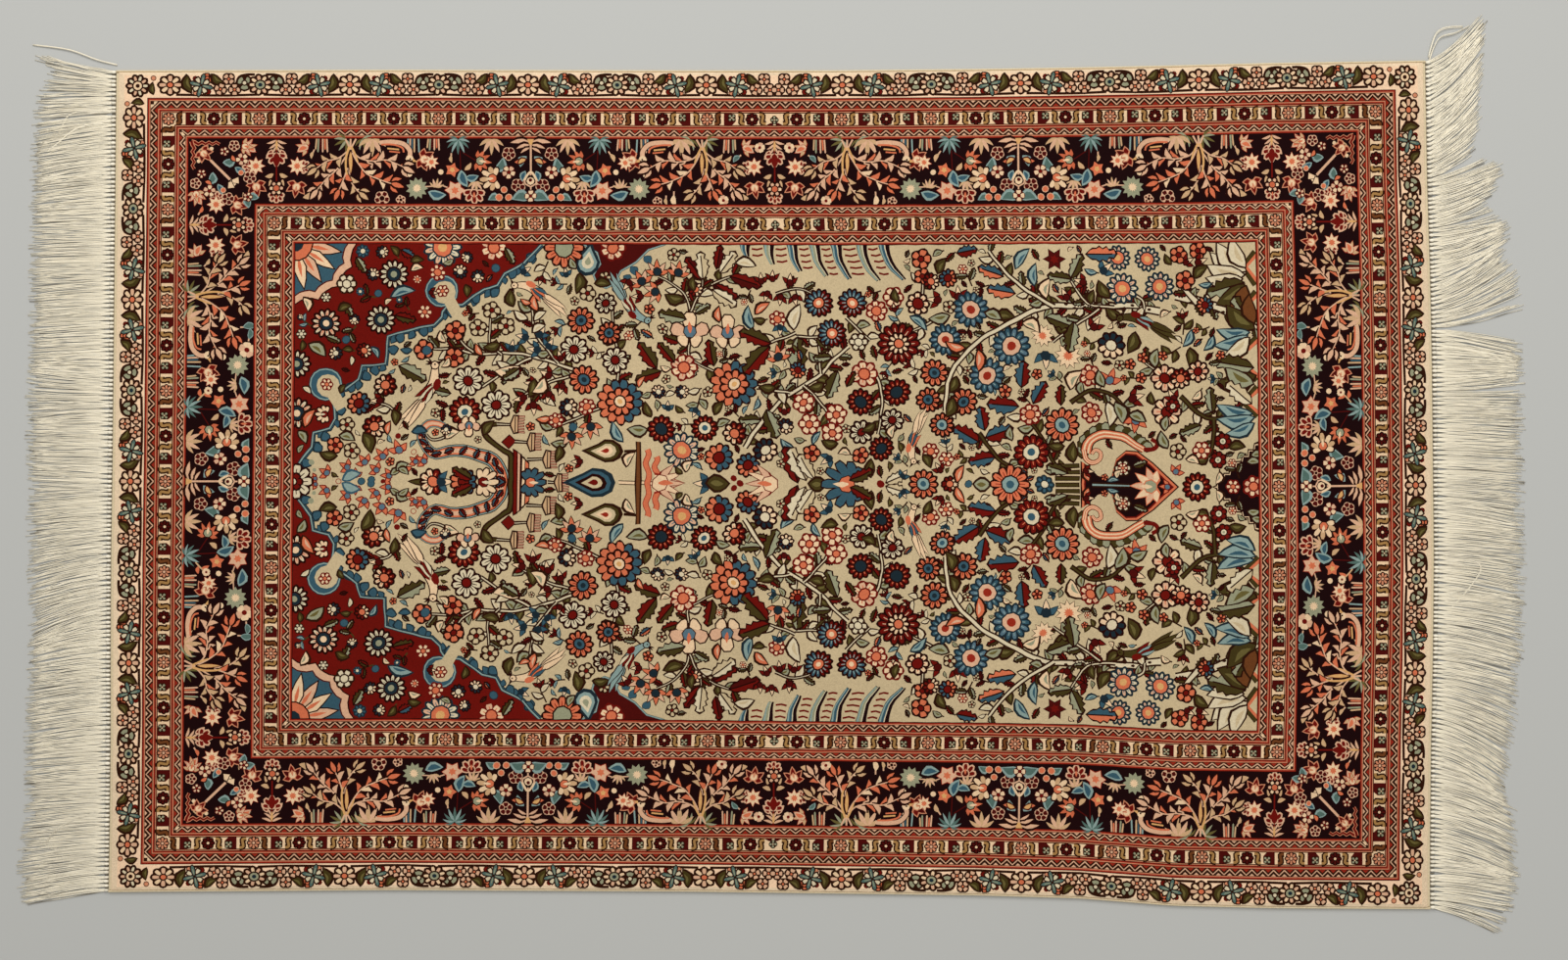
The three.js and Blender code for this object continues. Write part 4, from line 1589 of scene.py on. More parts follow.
class FieldChart:
    """The chart of the half of the field that lies on the far side of its long axis."""

    HALF_LENGTH = 490.7
    HALF_WIDTH = 246.4

    WHITE = Bloom(13, Silk.PALE, Silk.INK_BLUE, eye=Silk.SAGE, tip=0.5, core=0.42, streak=Silk.SAGE)
    WHITE_PINK = Bloom(13, Silk.PALE, Silk.INK_BLUE, eye=Silk.CREAM, second=Silk.BLUSH, tip=0.5, core=0.42,
                       streak=Silk.CORAL)
    WHITE_CORAL = Bloom(13, Silk.PALE, Silk.CORAL, Silk.INK_BLUE, Silk.BLUSH, Silk.GOLD, 0.5, 0.46,
                        streak=Silk.SLATE)
    WHITE_SMALL = Bloom(6, Silk.PALE, Silk.PALE, Silk.BROWN, tip=0.8)
    GREY = Bloom(9, Silk.PALE, Silk.CRIMSON, tip=0.7, core=0.26, streak=Silk.BROWN)
    CORAL = Bloom(11, Silk.CORAL, Silk.BLUE, eye=Silk.INK_BLUE, tip=0.7, streak=Silk.RED)
    CORAL_CREAM = Bloom(12, Silk.CORAL, Silk.SKY, eye=Silk.BLUE, tip=0.7, core=0.38, streak=Silk.RED)
    CORAL_SAGE = Bloom(12, Silk.CORAL, Silk.SAGE, tip=0.7, core=0.42, streak=Silk.RED)
    CORAL_SMALL = Bloom(5, Silk.CORAL, Silk.CRIMSON, tip=0.8, core=0.22)
    RED = Bloom(13, Silk.CRIMSON, Silk.PALE, eye=Silk.BLUE, tip=0.8, core=0.42, fill=1.1, streak=Silk.CORAL)
    RED_SMALL = Bloom(7, Silk.CRIMSON, Silk.PALE, eye=Silk.SAGE, tip=0.8, core=0.3, fill=1.2)
    DARK_RED = Bloom(12, Silk.CRIMSON, Silk.INK_BLUE, Silk.MAROON, tip=0.8, core=0.4, fill=1.1,
                     streak=Silk.CORAL)
    BLUE = Bloom(14, Silk.BLUE, Silk.BLUSH, Silk.INK_BLUE, Silk.SLATE, Silk.RED, core=0.46, streak=Silk.SKY)
    BLUE_SMALL = Bloom(8, Silk.BLUE, Silk.PALE, Silk.INK_BLUE, tip=0.8)
    BLUE_RED = Bloom(14, Silk.CRIMSON, Silk.CORAL, Silk.MAROON, Silk.BLUE, Silk.CREAM, fill=1.1,
                     halved=True, streak=Silk.SKY)
    CORAL_BLUE = Bloom(10, Silk.CORAL, Silk.CRIMSON, Silk.MAROON, Silk.BLUE, tip=0.8, fill=1.1, halved=True)
    RED_INK = Double(Bloom(14, Silk.CRIMSON, Silk.CREAM, streak=Silk.BLUSH),
                     Bloom(10, Silk.CREAM, Silk.CORAL), 0.56)
    TWO_TONE = Double(Bloom(13, Silk.CORAL, Silk.CREAM, Silk.MAROON, Silk.BLUE, fill=1.1, halved=True),
                      Bloom(9, Silk.CORAL, Silk.CREAM, Silk.MAROON, Silk.CORAL, Silk.GOLD), 0.64)
    CREAM_RED = Bloom(9, Silk.CREAM, Silk.CORAL, Silk.MAROON, Silk.CRIMSON, tip=0.8, halved=True,
                      streak=Silk.CORAL)
    CREAM_INK = Bloom(9, Silk.CREAM, Silk.PALE, Silk.MAROON, Silk.INK_BLUE, tip=0.8, halved=True)
    OPEN = Bloom(5, Silk.FIELD, Silk.CRIMSON, Silk.BROWN, tip=0.8, core=0.2, streak=Silk.CRIMSON)
    OPEN_CORAL = Bloom(6, Silk.CREAM, Silk.CORAL, Silk.CRIMSON, tip=0.8, core=0.26)
    PEACH = Bloom(7, Silk.CREAM, Silk.CORAL, Silk.CRIMSON, Silk.BLUSH, tip=0.8, core=0.36,
                  streak=Silk.CORAL)
    PEACH_RED = Bloom(8, Silk.CREAM, Silk.CRIMSON, tip=0.8, core=0.4, streak=Silk.CORAL)
    BLUSH_RED = Bloom(8, Silk.BLUSH, Silk.CRIMSON, tip=0.8, second=Silk.CREAM, core=0.3, streak=Silk.CORAL)
    IRIS = Fan(5, Silk.CREAM, Silk.SLATE, Silk.BROWN, Silk.BLUSH, Silk.CORAL, 260, 0.5)
    TULIP = Fan(3, Silk.CORAL, Silk.SLATE, Silk.CRIMSON, None, None, 110)
    CORAL_FAN = Fan(5, Silk.CORAL, Silk.INK_BLUE, Silk.BROWN, Silk.BLUSH, None, 150)
    BLUE_BUD = Fan(3, Silk.BLUE, Silk.INK_BLUE, Silk.INK_BLUE, Silk.CREAM, None, 100)
    RED_BUD = Fan(3, Silk.CRIMSON, Silk.GARNET, Silk.MAROON, Silk.CREAM, None, 90)
    CREAM_FAN = Fan(7, Silk.CREAM, Silk.CRIMSON, Silk.MAROON, None, Silk.PALE, 190, 0.5)
    FLAME = Fan(5, Silk.BLUSH, Silk.CREAM, Silk.CRIMSON, Silk.CREAM, Silk.CORAL, 90)
    PALMETTE = Fan(9, Silk.BLUE, Silk.CORAL, Silk.MAROON, None, Silk.CREAM, 230, 0.6)
    GARNET_STAR = StarFlower(6, Silk.GARNET, Silk.CRIMSON, Silk.MAROON, 0.5)
    GOLD_STAR = StarFlower(11, Silk.CREAM, Silk.CORAL, Silk.BROWN, 0.62)
    RED_DOT = Dot(Silk.CRIMSON)
    BLUE_DOT = Dot(Silk.BLUE, Silk.INK_BLUE)
    SAGE_DOT = Dot(Silk.SAGE)
    FIELD_DOT = Dot(Silk.FIELD, Silk.RED)
    BLUE_LEAF = Leaf(Silk.BLUE, Silk.INK_BLUE)
    RUST_LEAF = Leaf(Silk.RUST, Silk.BROWN)
    OLIVE_LEAF = Leaf(Silk.OLIVE, Silk.BROWN, Silk.MOSS, 0.5)
    SAGE_LEAF = Leaf(Silk.SAGE, Silk.BROWN, Silk.MOSS, 0.5)
    OPEN_LEAF = Leaf(Silk.PALE, Silk.BROWN, Silk.FIELD, 0.44)
    CREAM_LEAF = Leaf(Silk.CREAM, Silk.BROWN, Silk.SAGE, 0.5, 0.2)
    CORAL_LEAF = Leaf(Silk.CORAL, Silk.BROWN, Silk.BLUSH, 0.4)
    SKY_LEAF = Leaf(Silk.SKY, Silk.INK_BLUE, Silk.BLUE, 0.34)
    RED_OLIVE = LeafPair(Silk.CRIMSON, Silk.OLIVE)
    SAGE_OLIVE = LeafPair(Silk.SAGE, Silk.OLIVE)
    BLUE_GARNET = LeafPair(Silk.BLUE, Silk.CRIMSON, width=0.6)
    CORAL_BLUE_LEAF = LeafPair(Silk.CORAL, Silk.BLUE)
    GARNET_LEAF = LeafPair(Silk.CRIMSON, Silk.GARNET, width=0.42)
    OPEN_PAIR = LeafPair(Silk.PALE, Silk.FIELD, Silk.BROWN)
    SEED = Drop((Silk.INK_BLUE, Silk.BLUE, Silk.MAROON, Silk.FIELD, Silk.CRIMSON))
    GREEN_SEED = Drop((Silk.BROWN, Silk.OLIVE, Silk.FIELD, Silk.CREAM, Silk.RED))
    FINCH = Bird(Silk.CREAM, Silk.BLUE, Silk.CORAL)
    PHEASANT = Bird(Silk.CREAM, Silk.PALE, Silk.CRIMSON)
    JAY = Bird(Silk.SKY, Silk.PALE, Silk.CRIMSON)
    ROBIN = Bird(Silk.OLIVE, Silk.SKY, Silk.CRIMSON)

    FILLING = Filling((
        Sprig(OLIVE_LEAF, RED_BUD), Sprig(SAGE_LEAF, BLUE_BUD), Sprig(OLIVE_LEAF, CORAL_SMALL),
        Sprig(GARNET_LEAF, OPEN), Sprig(RED_OLIVE, CORAL_SMALL), Sprig(OPEN_LEAF, RED_BUD),
        Sprig(SAGE_OLIVE, OPEN_CORAL), Sprig(SKY_LEAF, RED_BUD), Sprig(OPEN_LEAF, BLUE_BUD),
    ), (
        Single(OLIVE_LEAF), Single(SAGE_LEAF), Single(RED_OLIVE), Single(GARNET_LEAF), Single(SKY_LEAF),
        Single(OPEN_LEAF), Single(SAGE_OLIVE), CORAL_SMALL, OPEN, Single(CORAL_BLUE_LEAF),
        Single(CREAM_LEAF),
    ))

    RED_FILLING = Filling((
        Sprig(OLIVE_LEAF, OPEN_CORAL, Silk.OLIVE), Sprig(SAGE_OLIVE, BLUE_DOT, Silk.OLIVE),
        Sprig(RED_OLIVE, BLUE_SMALL, Silk.OLIVE), Sprig(SKY_LEAF, CREAM_INK, Silk.OLIVE),
    ), (
        Single(OLIVE_LEAF, Silk.OLIVE), Single(SAGE_OLIVE, Silk.OLIVE), Single(OLIVE_LEAF, Silk.OLIVE),
        BLUE_SMALL, Single(SAGE_LEAF, Silk.OLIVE), CREAM_INK,
    ), (11.0, 9.0, 7.5, 6.4), 3.0, 12)
    # Left, low, right and high of the stretches of red that RED_FILLING fills.
    RED_GROUNDS = (
        (-490, 126, -402, 246), (-402, 164, -358, 246), (-358, 188, -300, 246), (-490, 56, -458, 122),
    )

    # Left, low, right and high of places that the filling leaves alone.
    RESERVED = (
        (310, -36, 410, 36), (-360, 0, -275, 40), (-491, 183, -427, 247), (-40, 205, 130, 247),
        (-199, 0, -88, 48), (-208, 204, -114, 247), (-300, 26, -282, 62), (-359, 180, -323, 216),
        (-477, 83, -441, 119),
    )

    # The tables below hold a motif, its knots along and across from the field's middle, size, turn.
    SPANDREL_FLOWERS = (
        (WHITE, -390, 215, 16.5, 0), (WHITE_PINK, -459, 164, 16.5, 0), (WHITE, -403, 168, 16.5, 9),
        (WHITE_SMALL, -438, 205, 11.5, 0), (WHITE_CORAL, -340, 243, 21, 0), (PEACH, -288, 243, 15, 0),
        (WHITE, -489, 122, 16, 0), (WHITE_PINK, -488, 71, 17.5, 0), (WHITE_SMALL, -459, 191, 6, 0),
        (CREAM_INK, -430, 168, 6.5, 0), (BLUE_DOT, -406, 195, 4.5, 0), (SKY_LEAF, -392, 192, 24, 15),
        (SAGE_OLIVE, -428, 232, 17, -60), (CREAM_LEAF, -372, 219, 12, 15), (PEACH, -366, 210, 5, -20),
        (CREAM_INK, -402, 238, 7.5, 90), (BLUE_GARNET, -382, 240, 14, -30),
        (OLIVE_LEAF, -372, 228, 12, 10), (PEACH, -345, 217, 9.5, 0), (CREAM_INK, -322, 218, 8.5, 200),
        (CREAM_INK, -304, 213, 8, 20), (BLUE_DOT, -286, 222, 5, 0), (CREAM_INK, -315, 233, 7, -50),
        (SAGE_OLIVE, -276, 242, 17, -60), (OLIVE_LEAF, -317, 204, 12, -80),
        (OPEN_CORAL, -358, 176, 8.5, 0), (RED_OLIVE, -388, 172, 20, -12), (CREAM_LEAF, -398, 184, 8, 40),
        (CREAM_LEAF, -482, 190, 14, -70), (WHITE_SMALL, -484, 153, 6, 0), (SAGE_LEAF, -476, 142, 20, -35),
        (CREAM_INK, -449, 133, 8, -90), (CREAM_RED, -420, 136, 9, 90), (SKY_LEAF, -412, 139, 12, -60),
        (SAGE_OLIVE, -458, 150, 14, -20), (OPEN_LEAF, -433, 130, 9, -90), (OPEN_LEAF, -482, 98, 10, -40),
        (CORAL_LEAF, -480, 57, 20, 60), (CREAM_FAN, -462, 70, 7, 180), (SAGE_LEAF, -486, 52, 14, -60),
        (SAGE_LEAF, -486, 30, 9, 60), (SAGE_OLIVE, -441, 186, 16, -60), (OLIVE_LEAF, -446, 178, 13, 20),
        (SAGE_LEAF, -330, 230, 10, 200), (RED_BUD, -350, 196, 5, 0),
    )
    LEFT_FLOWERS = (
        (CORAL_SAGE, -216, 243, 21, 0), (CORAL, -199, 168, 14.5, 0), (CORAL, -196, 107, 15.5, 0),
        (CORAL, -170, 155, 12.5, 12), (GREY, -206, 138, 15, 0), (GREY, -314, 105, 16, 10),
        (GREY, -285, 80, 16, 0), (GREY, -174, 186, 11.5, 0), (GREY, -164, 127, 14, 0),
        (RED, -317, 73, 16.5, 0), (CORAL_SMALL, -327, 157, 11, 10), (CORAL_SMALL, -359, 137, 11, 30),
        (CORAL_SMALL, -328, 129, 11, 50), (OPEN, -290, 178, 9.5, 0), (OPEN, -304, 160, 9.5, 20),
        (OPEN, -275, 162, 9.5, 40), (CORAL_BLUE, -425, 81, 12.5, -90), (CREAM_RED, -398, 100, 12, -90),
        (SAGE_OLIVE, -384, 120, 28, -28), (SAGE_OLIVE, -332, 92, 16, 170), (BLUE_BUD, -258, 151, 7, 170),
        (BLUE_BUD, -240, 155, 7, 60), (BLUE_BUD, -246, 138, 7, 170), (BLUE_BUD, -231, 143, 6.5, 60),
        (BLUE_BUD, -269, 141, 6, 80), (RED_BUD, -234, 112, 7.5, 150), (RED_BUD, -249, 102, 7, 170),
        (RED_BUD, -260, 87, 7.5, 190), (RED_BUD, -247, 78, 7.5, 270), (RED_BUD, -232, 89, 7, 260),
        (RED_BUD, -219, 98, 7, 250), (RED_BUD, -220, 131, 6, 110), (BLUE_DOT, -356, 136, 5, 0),
        (BLUE_LEAF, -372, 137, 10, 180), (CREAM_LEAF, -338, 145, 11, 110),
        (CREAM_LEAF, -334, 128, 10, 230), (CORAL_LEAF, -300, 132, 12, 120),
        (OLIVE_LEAF, -282, 143, 15, 190), (OLIVE_LEAF, -268, 183, 16, 100),
        (CORAL_LEAF, -244, 178, 16, 100), (CORAL_LEAF, -250, 186, 10, 160),
        (OPEN_LEAF, -254, 170, 14, 150), (OPEN_LEAF, -246, 168, 13, 40), (OPEN_LEAF, -248, 156, 13, 30),
        (CREAM_LEAF, -262, 120, 24, 190), (SAGE_OLIVE, -262, 118, 18, 215),
        (OLIVE_LEAF, -246, 106, 17, 250), (CREAM_LEAF, -236, 108, 18, 230), (FINCH, -246, 200, 20, 140),
        (PHEASANT, -352, 96, 24, 52), (BLUE_BUD, -256, 219, 6, 30), (BLUE_BUD, -214, 217, 5, 100),
        (OLIVE_LEAF, -200, 216, 18, -100), (SAGE_LEAF, -204, 222, 11, 120), (OPEN, -192, 196, 9, 0),
        (OLIVE_LEAF, -184, 206, 14, 0), (OPEN, -437, 59, 8.5, 0), (CORAL_SMALL, -449, 38, 9, 0),
        (OPEN, -432, 32, 9, 0), (CREAM_RED, -409, 57, 12.5, 60), (OLIVE_LEAF, -448, 27, 15, 170),
        (OLIVE_LEAF, -420, 50, 20, -70), (CORAL_LEAF, -396, 50, 12, 75), (RED_DOT, -385, 47, 3, 0),
        (SAGE_LEAF, -444, 48, 14, -20), (RED_BUD, -406, 84, 7, 180), (OLIVE_LEAF, -390, 74, 14, -80),
        (IRIS, -313, 56, 8, 270), (CREAM_INK, -212, 78, 10, 100), (PEACH, -193, 79, 9, 0),
        (CORAL_LEAF, -230, 67, 13, 185), (PEACH, -224, 65, 8, 0), (BLUE_DOT, -207, 58, 4.5, 0),
        (CORAL_FAN, -189, 55, 9, 270), (SAGE_LEAF, -214, 41, 13, 180), (OLIVE_LEAF, -221, 37, 14, 260),
        (RED_BUD, -202, 22, 6, 180), (OLIVE_LEAF, -444, 92, 9, 60), (CREAM_INK, -336, 54, 6, 0),
        (BLUE_LEAF, -370, 52, 13, 0), (CORAL_FAN, -208, 45, 9, 270),
    )
    TULIP_ROWS = (
        (TULIP, -459, 10, 6, 150), (TULIP, -438, 16, 6, 150), (TULIP, -428, 8, 5, 90),
        (TULIP, -420, 22, 6.5, 130), (TULIP, -402, 28, 7, 130), (TULIP, -385, 35, 8, 110),
        (TULIP, -408, 13, 6, 140), (TULIP, -396, 6, 6, 180), (SAGE_LEAF, -392, 8, 10, 20),
        (TULIP, -379, 14, 6, 90), (SAGE_LEAF, -386, 12, 12, 30), (SAGE_LEAF, -384, 13, 10, -30),
        (TULIP, -368, 22, 5, 140), (TULIP, -360, 22, 6, 150), (FIELD_DOT, -369, 31, 3, 0),
        (FIELD_DOT, -445, 0, 3, 0), (SAGE_DOT, -473, 20, 3, 0), (SAGE_DOT, -470, 12, 2, 0),
        (BLUE_DOT, -422, 0, 4, 0), (BLUE_DOT, -412, 2, 4, 0), (RED_DOT, -400, 0, 2.4, 0),
        (TULIP, -470, 3, 4, 180), (Leaf(Silk.SKY, Silk.BLUE), -440, 2, 16, 20),
    )
    MIDDLE_FLOWERS = (
        (TWO_TONE, -159, 84, 24, -60), (DARK_RED, -117, 56, 14.5, 0), (RED, -73, 57, 14, 0),
        (WHITE_CORAL, -96, 34, 18.5, 0), (TWO_TONE, -43, 103, 24.5, -80), (PEACH, -94, 120, 14, 0),
        (RED_OLIVE, -122, 120, 28, 125), (RED_OLIVE, -118, 116, 24, 200), (RED_OLIVE, -104, 126, 22, 130),
        (RED_OLIVE, -64, 122, 24, 100), (RED_OLIVE, -98, 146, 16, 160), (IRIS, -88, 162, 14, 90),
        (IRIS, -49, 160, 13, 90), (CORAL_LEAF, -58, 168, 14, 90), (JAY, -148, 180, 20, -62),
        (RED_BUD, -151, 206, 7, 230), (CORAL_FAN, -138, 211, 9, 120), (CORAL_FAN, -121, 222, 9, 90),
        (CORAL_FAN, -99, 221, 9, 80), (CORAL_FAN, -126, 197, 9, 200), (RED_BUD, -140, 193, 6, 180),
        (GARNET_LEAF, -76, 212, 24, 125), (OPEN_PAIR, -74, 212, 25, 95), (GARNET_LEAF, -60, 222, 22, 80),
        (OPEN_PAIR, -56, 218, 24, 55), (GARNET_LEAF, -46, 214, 30, -18), (GARNET_LEAF, -62, 205, 24, -30),
        (OPEN_PAIR, -64, 200, 26, -35), (OPEN_LEAF, -40, 228, 18, -8), (SAGE_OLIVE, -92, 170, 26, 168),
        (OLIVE_LEAF, -94, 190, 18, 165), (SAGE_OLIVE, -82, 176, 15, 30), (CREAM_RED, -82, 201, 8, 90),
        (OLIVE_LEAF, -84, 200, 12, 90), (RED_BUD, -15, 211, 6, 90), (RED_BUD, -3, 214, 6, 90),
        (RED_BUD, 15, 210, 6.5, 90), (RED_BUD, -9, 195, 6, 250), (RED_BUD, 5, 191, 6, 260),
        (RED_BUD, 20, 191, 6.5, 280), (SKY_LEAF, -24, 160, 22, 100), (CORAL_LEAF, -20, 176, 16, 40),
        (PEACH, 2, 170, 9, 0), (BLUE_BUD, 4, 160, 6, 270), (BLUE_RED, 44, 187, 15, 90),
        (BLUE_RED, 78, 187, 15, 0), (BLUE_RED, 57, 156, 15, 90), (PEACH, 103, 179, 11.5, 0),
        (PEACH_RED, 145, 186, 12.5, 0), (OPEN_CORAL, 120, 193, 11, 0), (RED_OLIVE, -6, 146, 30, 160),
        (RED_OLIVE, -8, 142, 34, 228), (OPEN_LEAF, 18, 160, 24, 75), (SAGE_OLIVE, 22, 112, 36, 90),
        (CORAL_BLUE, 22, 118, 9, 0), (CORAL_FAN, 2, 134, 9, 100), (OPEN, 30, 84, 11.5, 0),
        (OPEN_CORAL, 28, 84, 11.5, 20), (OPEN_CORAL, 34, 62, 11.5, 0), (OPEN_CORAL, 61, 72, 11.5, 10),
        (OPEN_CORAL, 57, 53, 11.5, 30), (CREAM_INK, 10, 60, 8.5, 30), (RED_BUD, 8, 76, 6, 90),
        (CREAM_RED, -42, 52, 12.5, -60), (CORAL_BLUE, -58, 27, 15, -90), (CORAL_BLUE, -29, 19, 12.5, 10),
        (CREAM_INK, -11, 35, 13, 60), (DARK_RED, 86, 85, 14, 0), (DARK_RED, 107, 37, 13, 0),
        (GREY, 87, 54, 13, 0), (PEACH, 90, 114, 14, 0), (WHITE_SMALL, 84, 147, 10, 0),
        (RED_INK, 125, 145, 22, 0), (SAGE_OLIVE, 56, 131, 16, 180), (SAGE_OLIVE, 62, 116, 26, 250),
        (OLIVE_LEAF, 48, 104, 14, 200), (SAGE_OLIVE, -10, 76, 28, 290), (SAGE_OLIVE, -16, 66, 20, 180),
        (OLIVE_LEAF, -2, 100, 14, 180), (RED_OLIVE, 72, 102, 14, 60), (OLIVE_LEAF, 100, 62, 13, 210),
        (CREAM_INK, -120, 95, 7.5, 200), (CREAM_INK, -96, 95, 7.5, 100), (BLUE_BUD, -110, 79, 5, 90),
        (OLIVE_LEAF, -128, 70, 13, 110), (SAGE_LEAF, -132, 56, 18, 180), (SAGE_LEAF, -60, 60, 12, 20),
        (OLIVE_LEAF, -62, 72, 13, 60), (SKY_LEAF, -156, 44, 20, 120), (CORAL_LEAF, -140, 100, 11, 60),
        (SKY_LEAF, 18, 36, 15, 140), (CORAL_SMALL, 36, 32, 9.5, 0), (SKY_LEAF, 38, 42, 12, 60),
        (BLUE_BUD, 52, 25, 7, 220), (OLIVE_LEAF, 62, 42, 14, 170), (CORAL_SMALL, 86, 30, 9, 0),
        (OLIVE_LEAF, 97, 8, 16, 90), (CORAL_SMALL, 149, 232, 11, 0), (CORAL_SMALL, 150, 214, 9, 0),
        (CREAM_RED, 159, 209, 9, 90), (CORAL_BLUE, 176, 212, 10, 90), (OLIVE_LEAF, 166, 218, 15, 60),
        (RED_BUD, 186, 196, 8, 90), (SAGE_LEAF, 176, 174, 18, 190), (BLUE_GARNET, 186, 238, 18, 10),
        (RED_BUD, 163, 190, 8, 170), (OLIVE_LEAF, 124, 188, 12, 100), (SKY_LEAF, 138, 172, 18, -40),
    )
    RIGHT_FLOWERS = (
        (BLUE, 199, 180, 18.5, 0), (BLUE, 173, 149, 16.5, 0), (BLUE, 240, 142, 19.5, 0),
        (BLUE, 215, 112, 18.5, 0), (CORAL, 161, 115, 14.5, 0), (CORAL, 155, 87, 13, 0),
        (CORAL, 191, 85, 14.5, 0), (CORAL_CREAM, 169, 61, 13, 0), (CORAL_CREAM, 291, 61, 18, 0),
        (DARK_RED, 123, 95, 14.5, 0), (RED, 260, 33, 18.5, 0), (WHITE_CORAL, 350, 232, 13, 0),
        (WHITE_CORAL, 380, 231, 13, 0), (WHITE_CORAL, 354, 201, 16, 0), (WHITE_CORAL, 392, 203, 15, 0),
        (CREAM_INK, 342, 143, 14.5, 0), (CORAL_BLUE_LEAF, 232, 214, 24, 160),
        (CORAL_BLUE_LEAF, 244, 196, 26, 170), (SKY_LEAF, 246, 222, 22, 55), (SKY_LEAF, 264, 205, 20, 85),
        (GARNET_STAR, 285, 231, 11, 0), (SAGE_OLIVE, 302, 212, 24, 65), (SAGE_OLIVE, 302, 210, 22, 170),
        (RED_BUD, 312, 208, 7, 160), (RED_BUD, 296, 194, 7, 120), (OLIVE_LEAF, 340, 192, 18, 120),
        (BLUE_BUD, 337, 221, 8, 40), (CORAL_BLUE_LEAF, 318, 236, 28, 0), (GOLD_STAR, 272, 153, 11, 0),
        (GOLD_STAR, 298, 132, 13, 0), (BLUE_BUD, 275, 129, 10, 270), (PEACH, 320, 112, 11.5, 0),
        (PEACH, 321, 74, 11, 0), (PEACH, 259, 72, 11.5, 0), (BLUE_GARNET, 246, 80, 28, 175),
        (BLUE_GARNET, 250, 100, 24, 85), (BLUE_GARNET, 262, 84, 22, 60), (BLUE_GARNET, 212, 56, 22, 100),
        (BLUE_GARNET, 214, 48, 26, 20), (BLUE_GARNET, 206, 44, 26, 150), (BLUE_GARNET, 222, 28, 24, 190),
        (OLIVE_LEAF, 180, 88, 18, 250), (OLIVE_LEAF, 183, 110, 15, 250), (CORAL_LEAF, 192, 140, 18, 160),
        (CORAL_LEAF, 206, 138, 20, 270), (OLIVE_LEAF, 224, 172, 18, 0), (SAGE_LEAF, 214, 176, 16, -20),
        (CREAM_LEAF, 252, 166, 18, -30), (SAGE_OLIVE, 276, 172, 26, -20), (SAGE_OLIVE, 304, 166, 28, 260),
        (CREAM_LEAF, 276, 192, 18, 80), (OLIVE_LEAF, 322, 186, 12, 80), (RED_BUD, 326, 164, 8, 60),
        (OLIVE_LEAF, 352, 172, 16, 150), (OLIVE_LEAF, 366, 156, 20, 250), (ROBIN, 372, 170, 20, 150),
        (CREAM_LEAF, 300, 98, 20, 60), (RED_OLIVE, 290, 82, 18, 90), (OPEN_LEAF, 338, 84, 22, -85),
        (SAGE_LEAF, 346, 84, 20, -70), (TULIP, 341, 110, 9, 70), (SAGE_LEAF, 334, 102, 15, 110),
        (RED_BUD, 366, 90, 9, 20), (TULIP, 366, 64, 9, 260), (SAGE_LEAF, 360, 72, 16, -20),
        (BLUSH_RED, 396, 110, 14.5, 0), (BLUSH_RED, 398, 76, 15.5, 0), (OLIVE_LEAF, 384, 84, 11, 100),
        (CORAL_SMALL, 361, 124, 6, 0), (CORAL_SMALL, 374, 131, 6, 0), (CORAL_SMALL, 372, 110, 6, 0),
        (SAGE_LEAF, 386, 122, 16, 80), (FINCH, 138, 42, 18, -112), (PEACH, 157, 34, 9, 0),
        (GREY, 118, 66, 12.5, 0), (OLIVE_LEAF, 150, 30, 13, -60), (OPEN_CORAL, 173, 26, 8, 0),
        (RED_BUD, 166, 16, 6, 120), (CREAM_LEAF, 118, 48, 12, 80), (OLIVE_LEAF, 303, 24, 18, 90),
        (SAGE_OLIVE, 296, 12, 20, 160), (OLIVE_LEAF, 292, 40, 14, 180), (SAGE_LEAF, 240, 46, 12, 100),
        (CORAL_SMALL, 412, 235, 9.5, 0), (CORAL_SMALL, 432, 239, 9.5, 0),
        (CORAL_SMALL, 418, 209, 10.5, 0), (RED_BUD, 421, 228, 6, 30), (RED_BUD, 434, 228, 7, 20),
        (OLIVE_LEAF, 428, 212, 16, 40), (OLIVE_LEAF, 404, 226, 10, 120), (OPEN_LEAF, 480, 216, 38, 150),
        (OPEN_LEAF, 480, 218, 38, 135), (OPEN_LEAF, 478, 214, 36, 165), (OPEN_LEAF, 480, 222, 30, 115),
        (OPEN_LEAF, 476, 210, 34, 178), (SAGE_OLIVE, 478, 206, 36, 195), (OLIVE_LEAF, 478, 204, 32, 215),
        (RUST_LEAF, 480, 202, 30, 235), (CORAL_BLUE, 438, 184, 9, -60), (SAGE_OLIVE, 486, 160, 34, 120),
        (OLIVE_LEAF, 488, 160, 34, 140), (RUST_LEAF, 488, 166, 26, 100), (SKY_LEAF, 482, 156, 30, 175),
        (SKY_LEAF, 480, 152, 32, 195), (OPEN_LEAF, 482, 150, 28, 215), (SKY_LEAF, 424, 158, 16, 240),
        (SKY_LEAF, 446, 152, 15, 235), (OLIVE_LEAF, 422, 140, 18, 270), (SAGE_OLIVE, 486, 120, 36, 170),
        (OLIVE_LEAF, 488, 112, 38, 190), (SAGE_LEAF, 486, 104, 30, 150), (BLUSH_RED, 430, 117, 11.5, 0),
        (CREAM_RED, 412, 110, 11, 0), (RED_BUD, 404, 92, 7, 120), (SKY_LEAF, 484, 74, 34, 165),
        (SKY_LEAF, 486, 70, 34, 182), (SKY_LEAF, 486, 64, 28, 200), (OPEN_PAIR, 484, 84, 30, 140),
        (SAGE_OLIVE, 444, 76, 22, 95), (SAGE_OLIVE, 432, 62, 20, 200), (RED_SMALL, 455, 46, 9, 0),
        (RED_SMALL, 450, 27, 9, 30), (RED_SMALL, 404, 82, 8, 0), (OPEN, 409, 36, 9, 0),
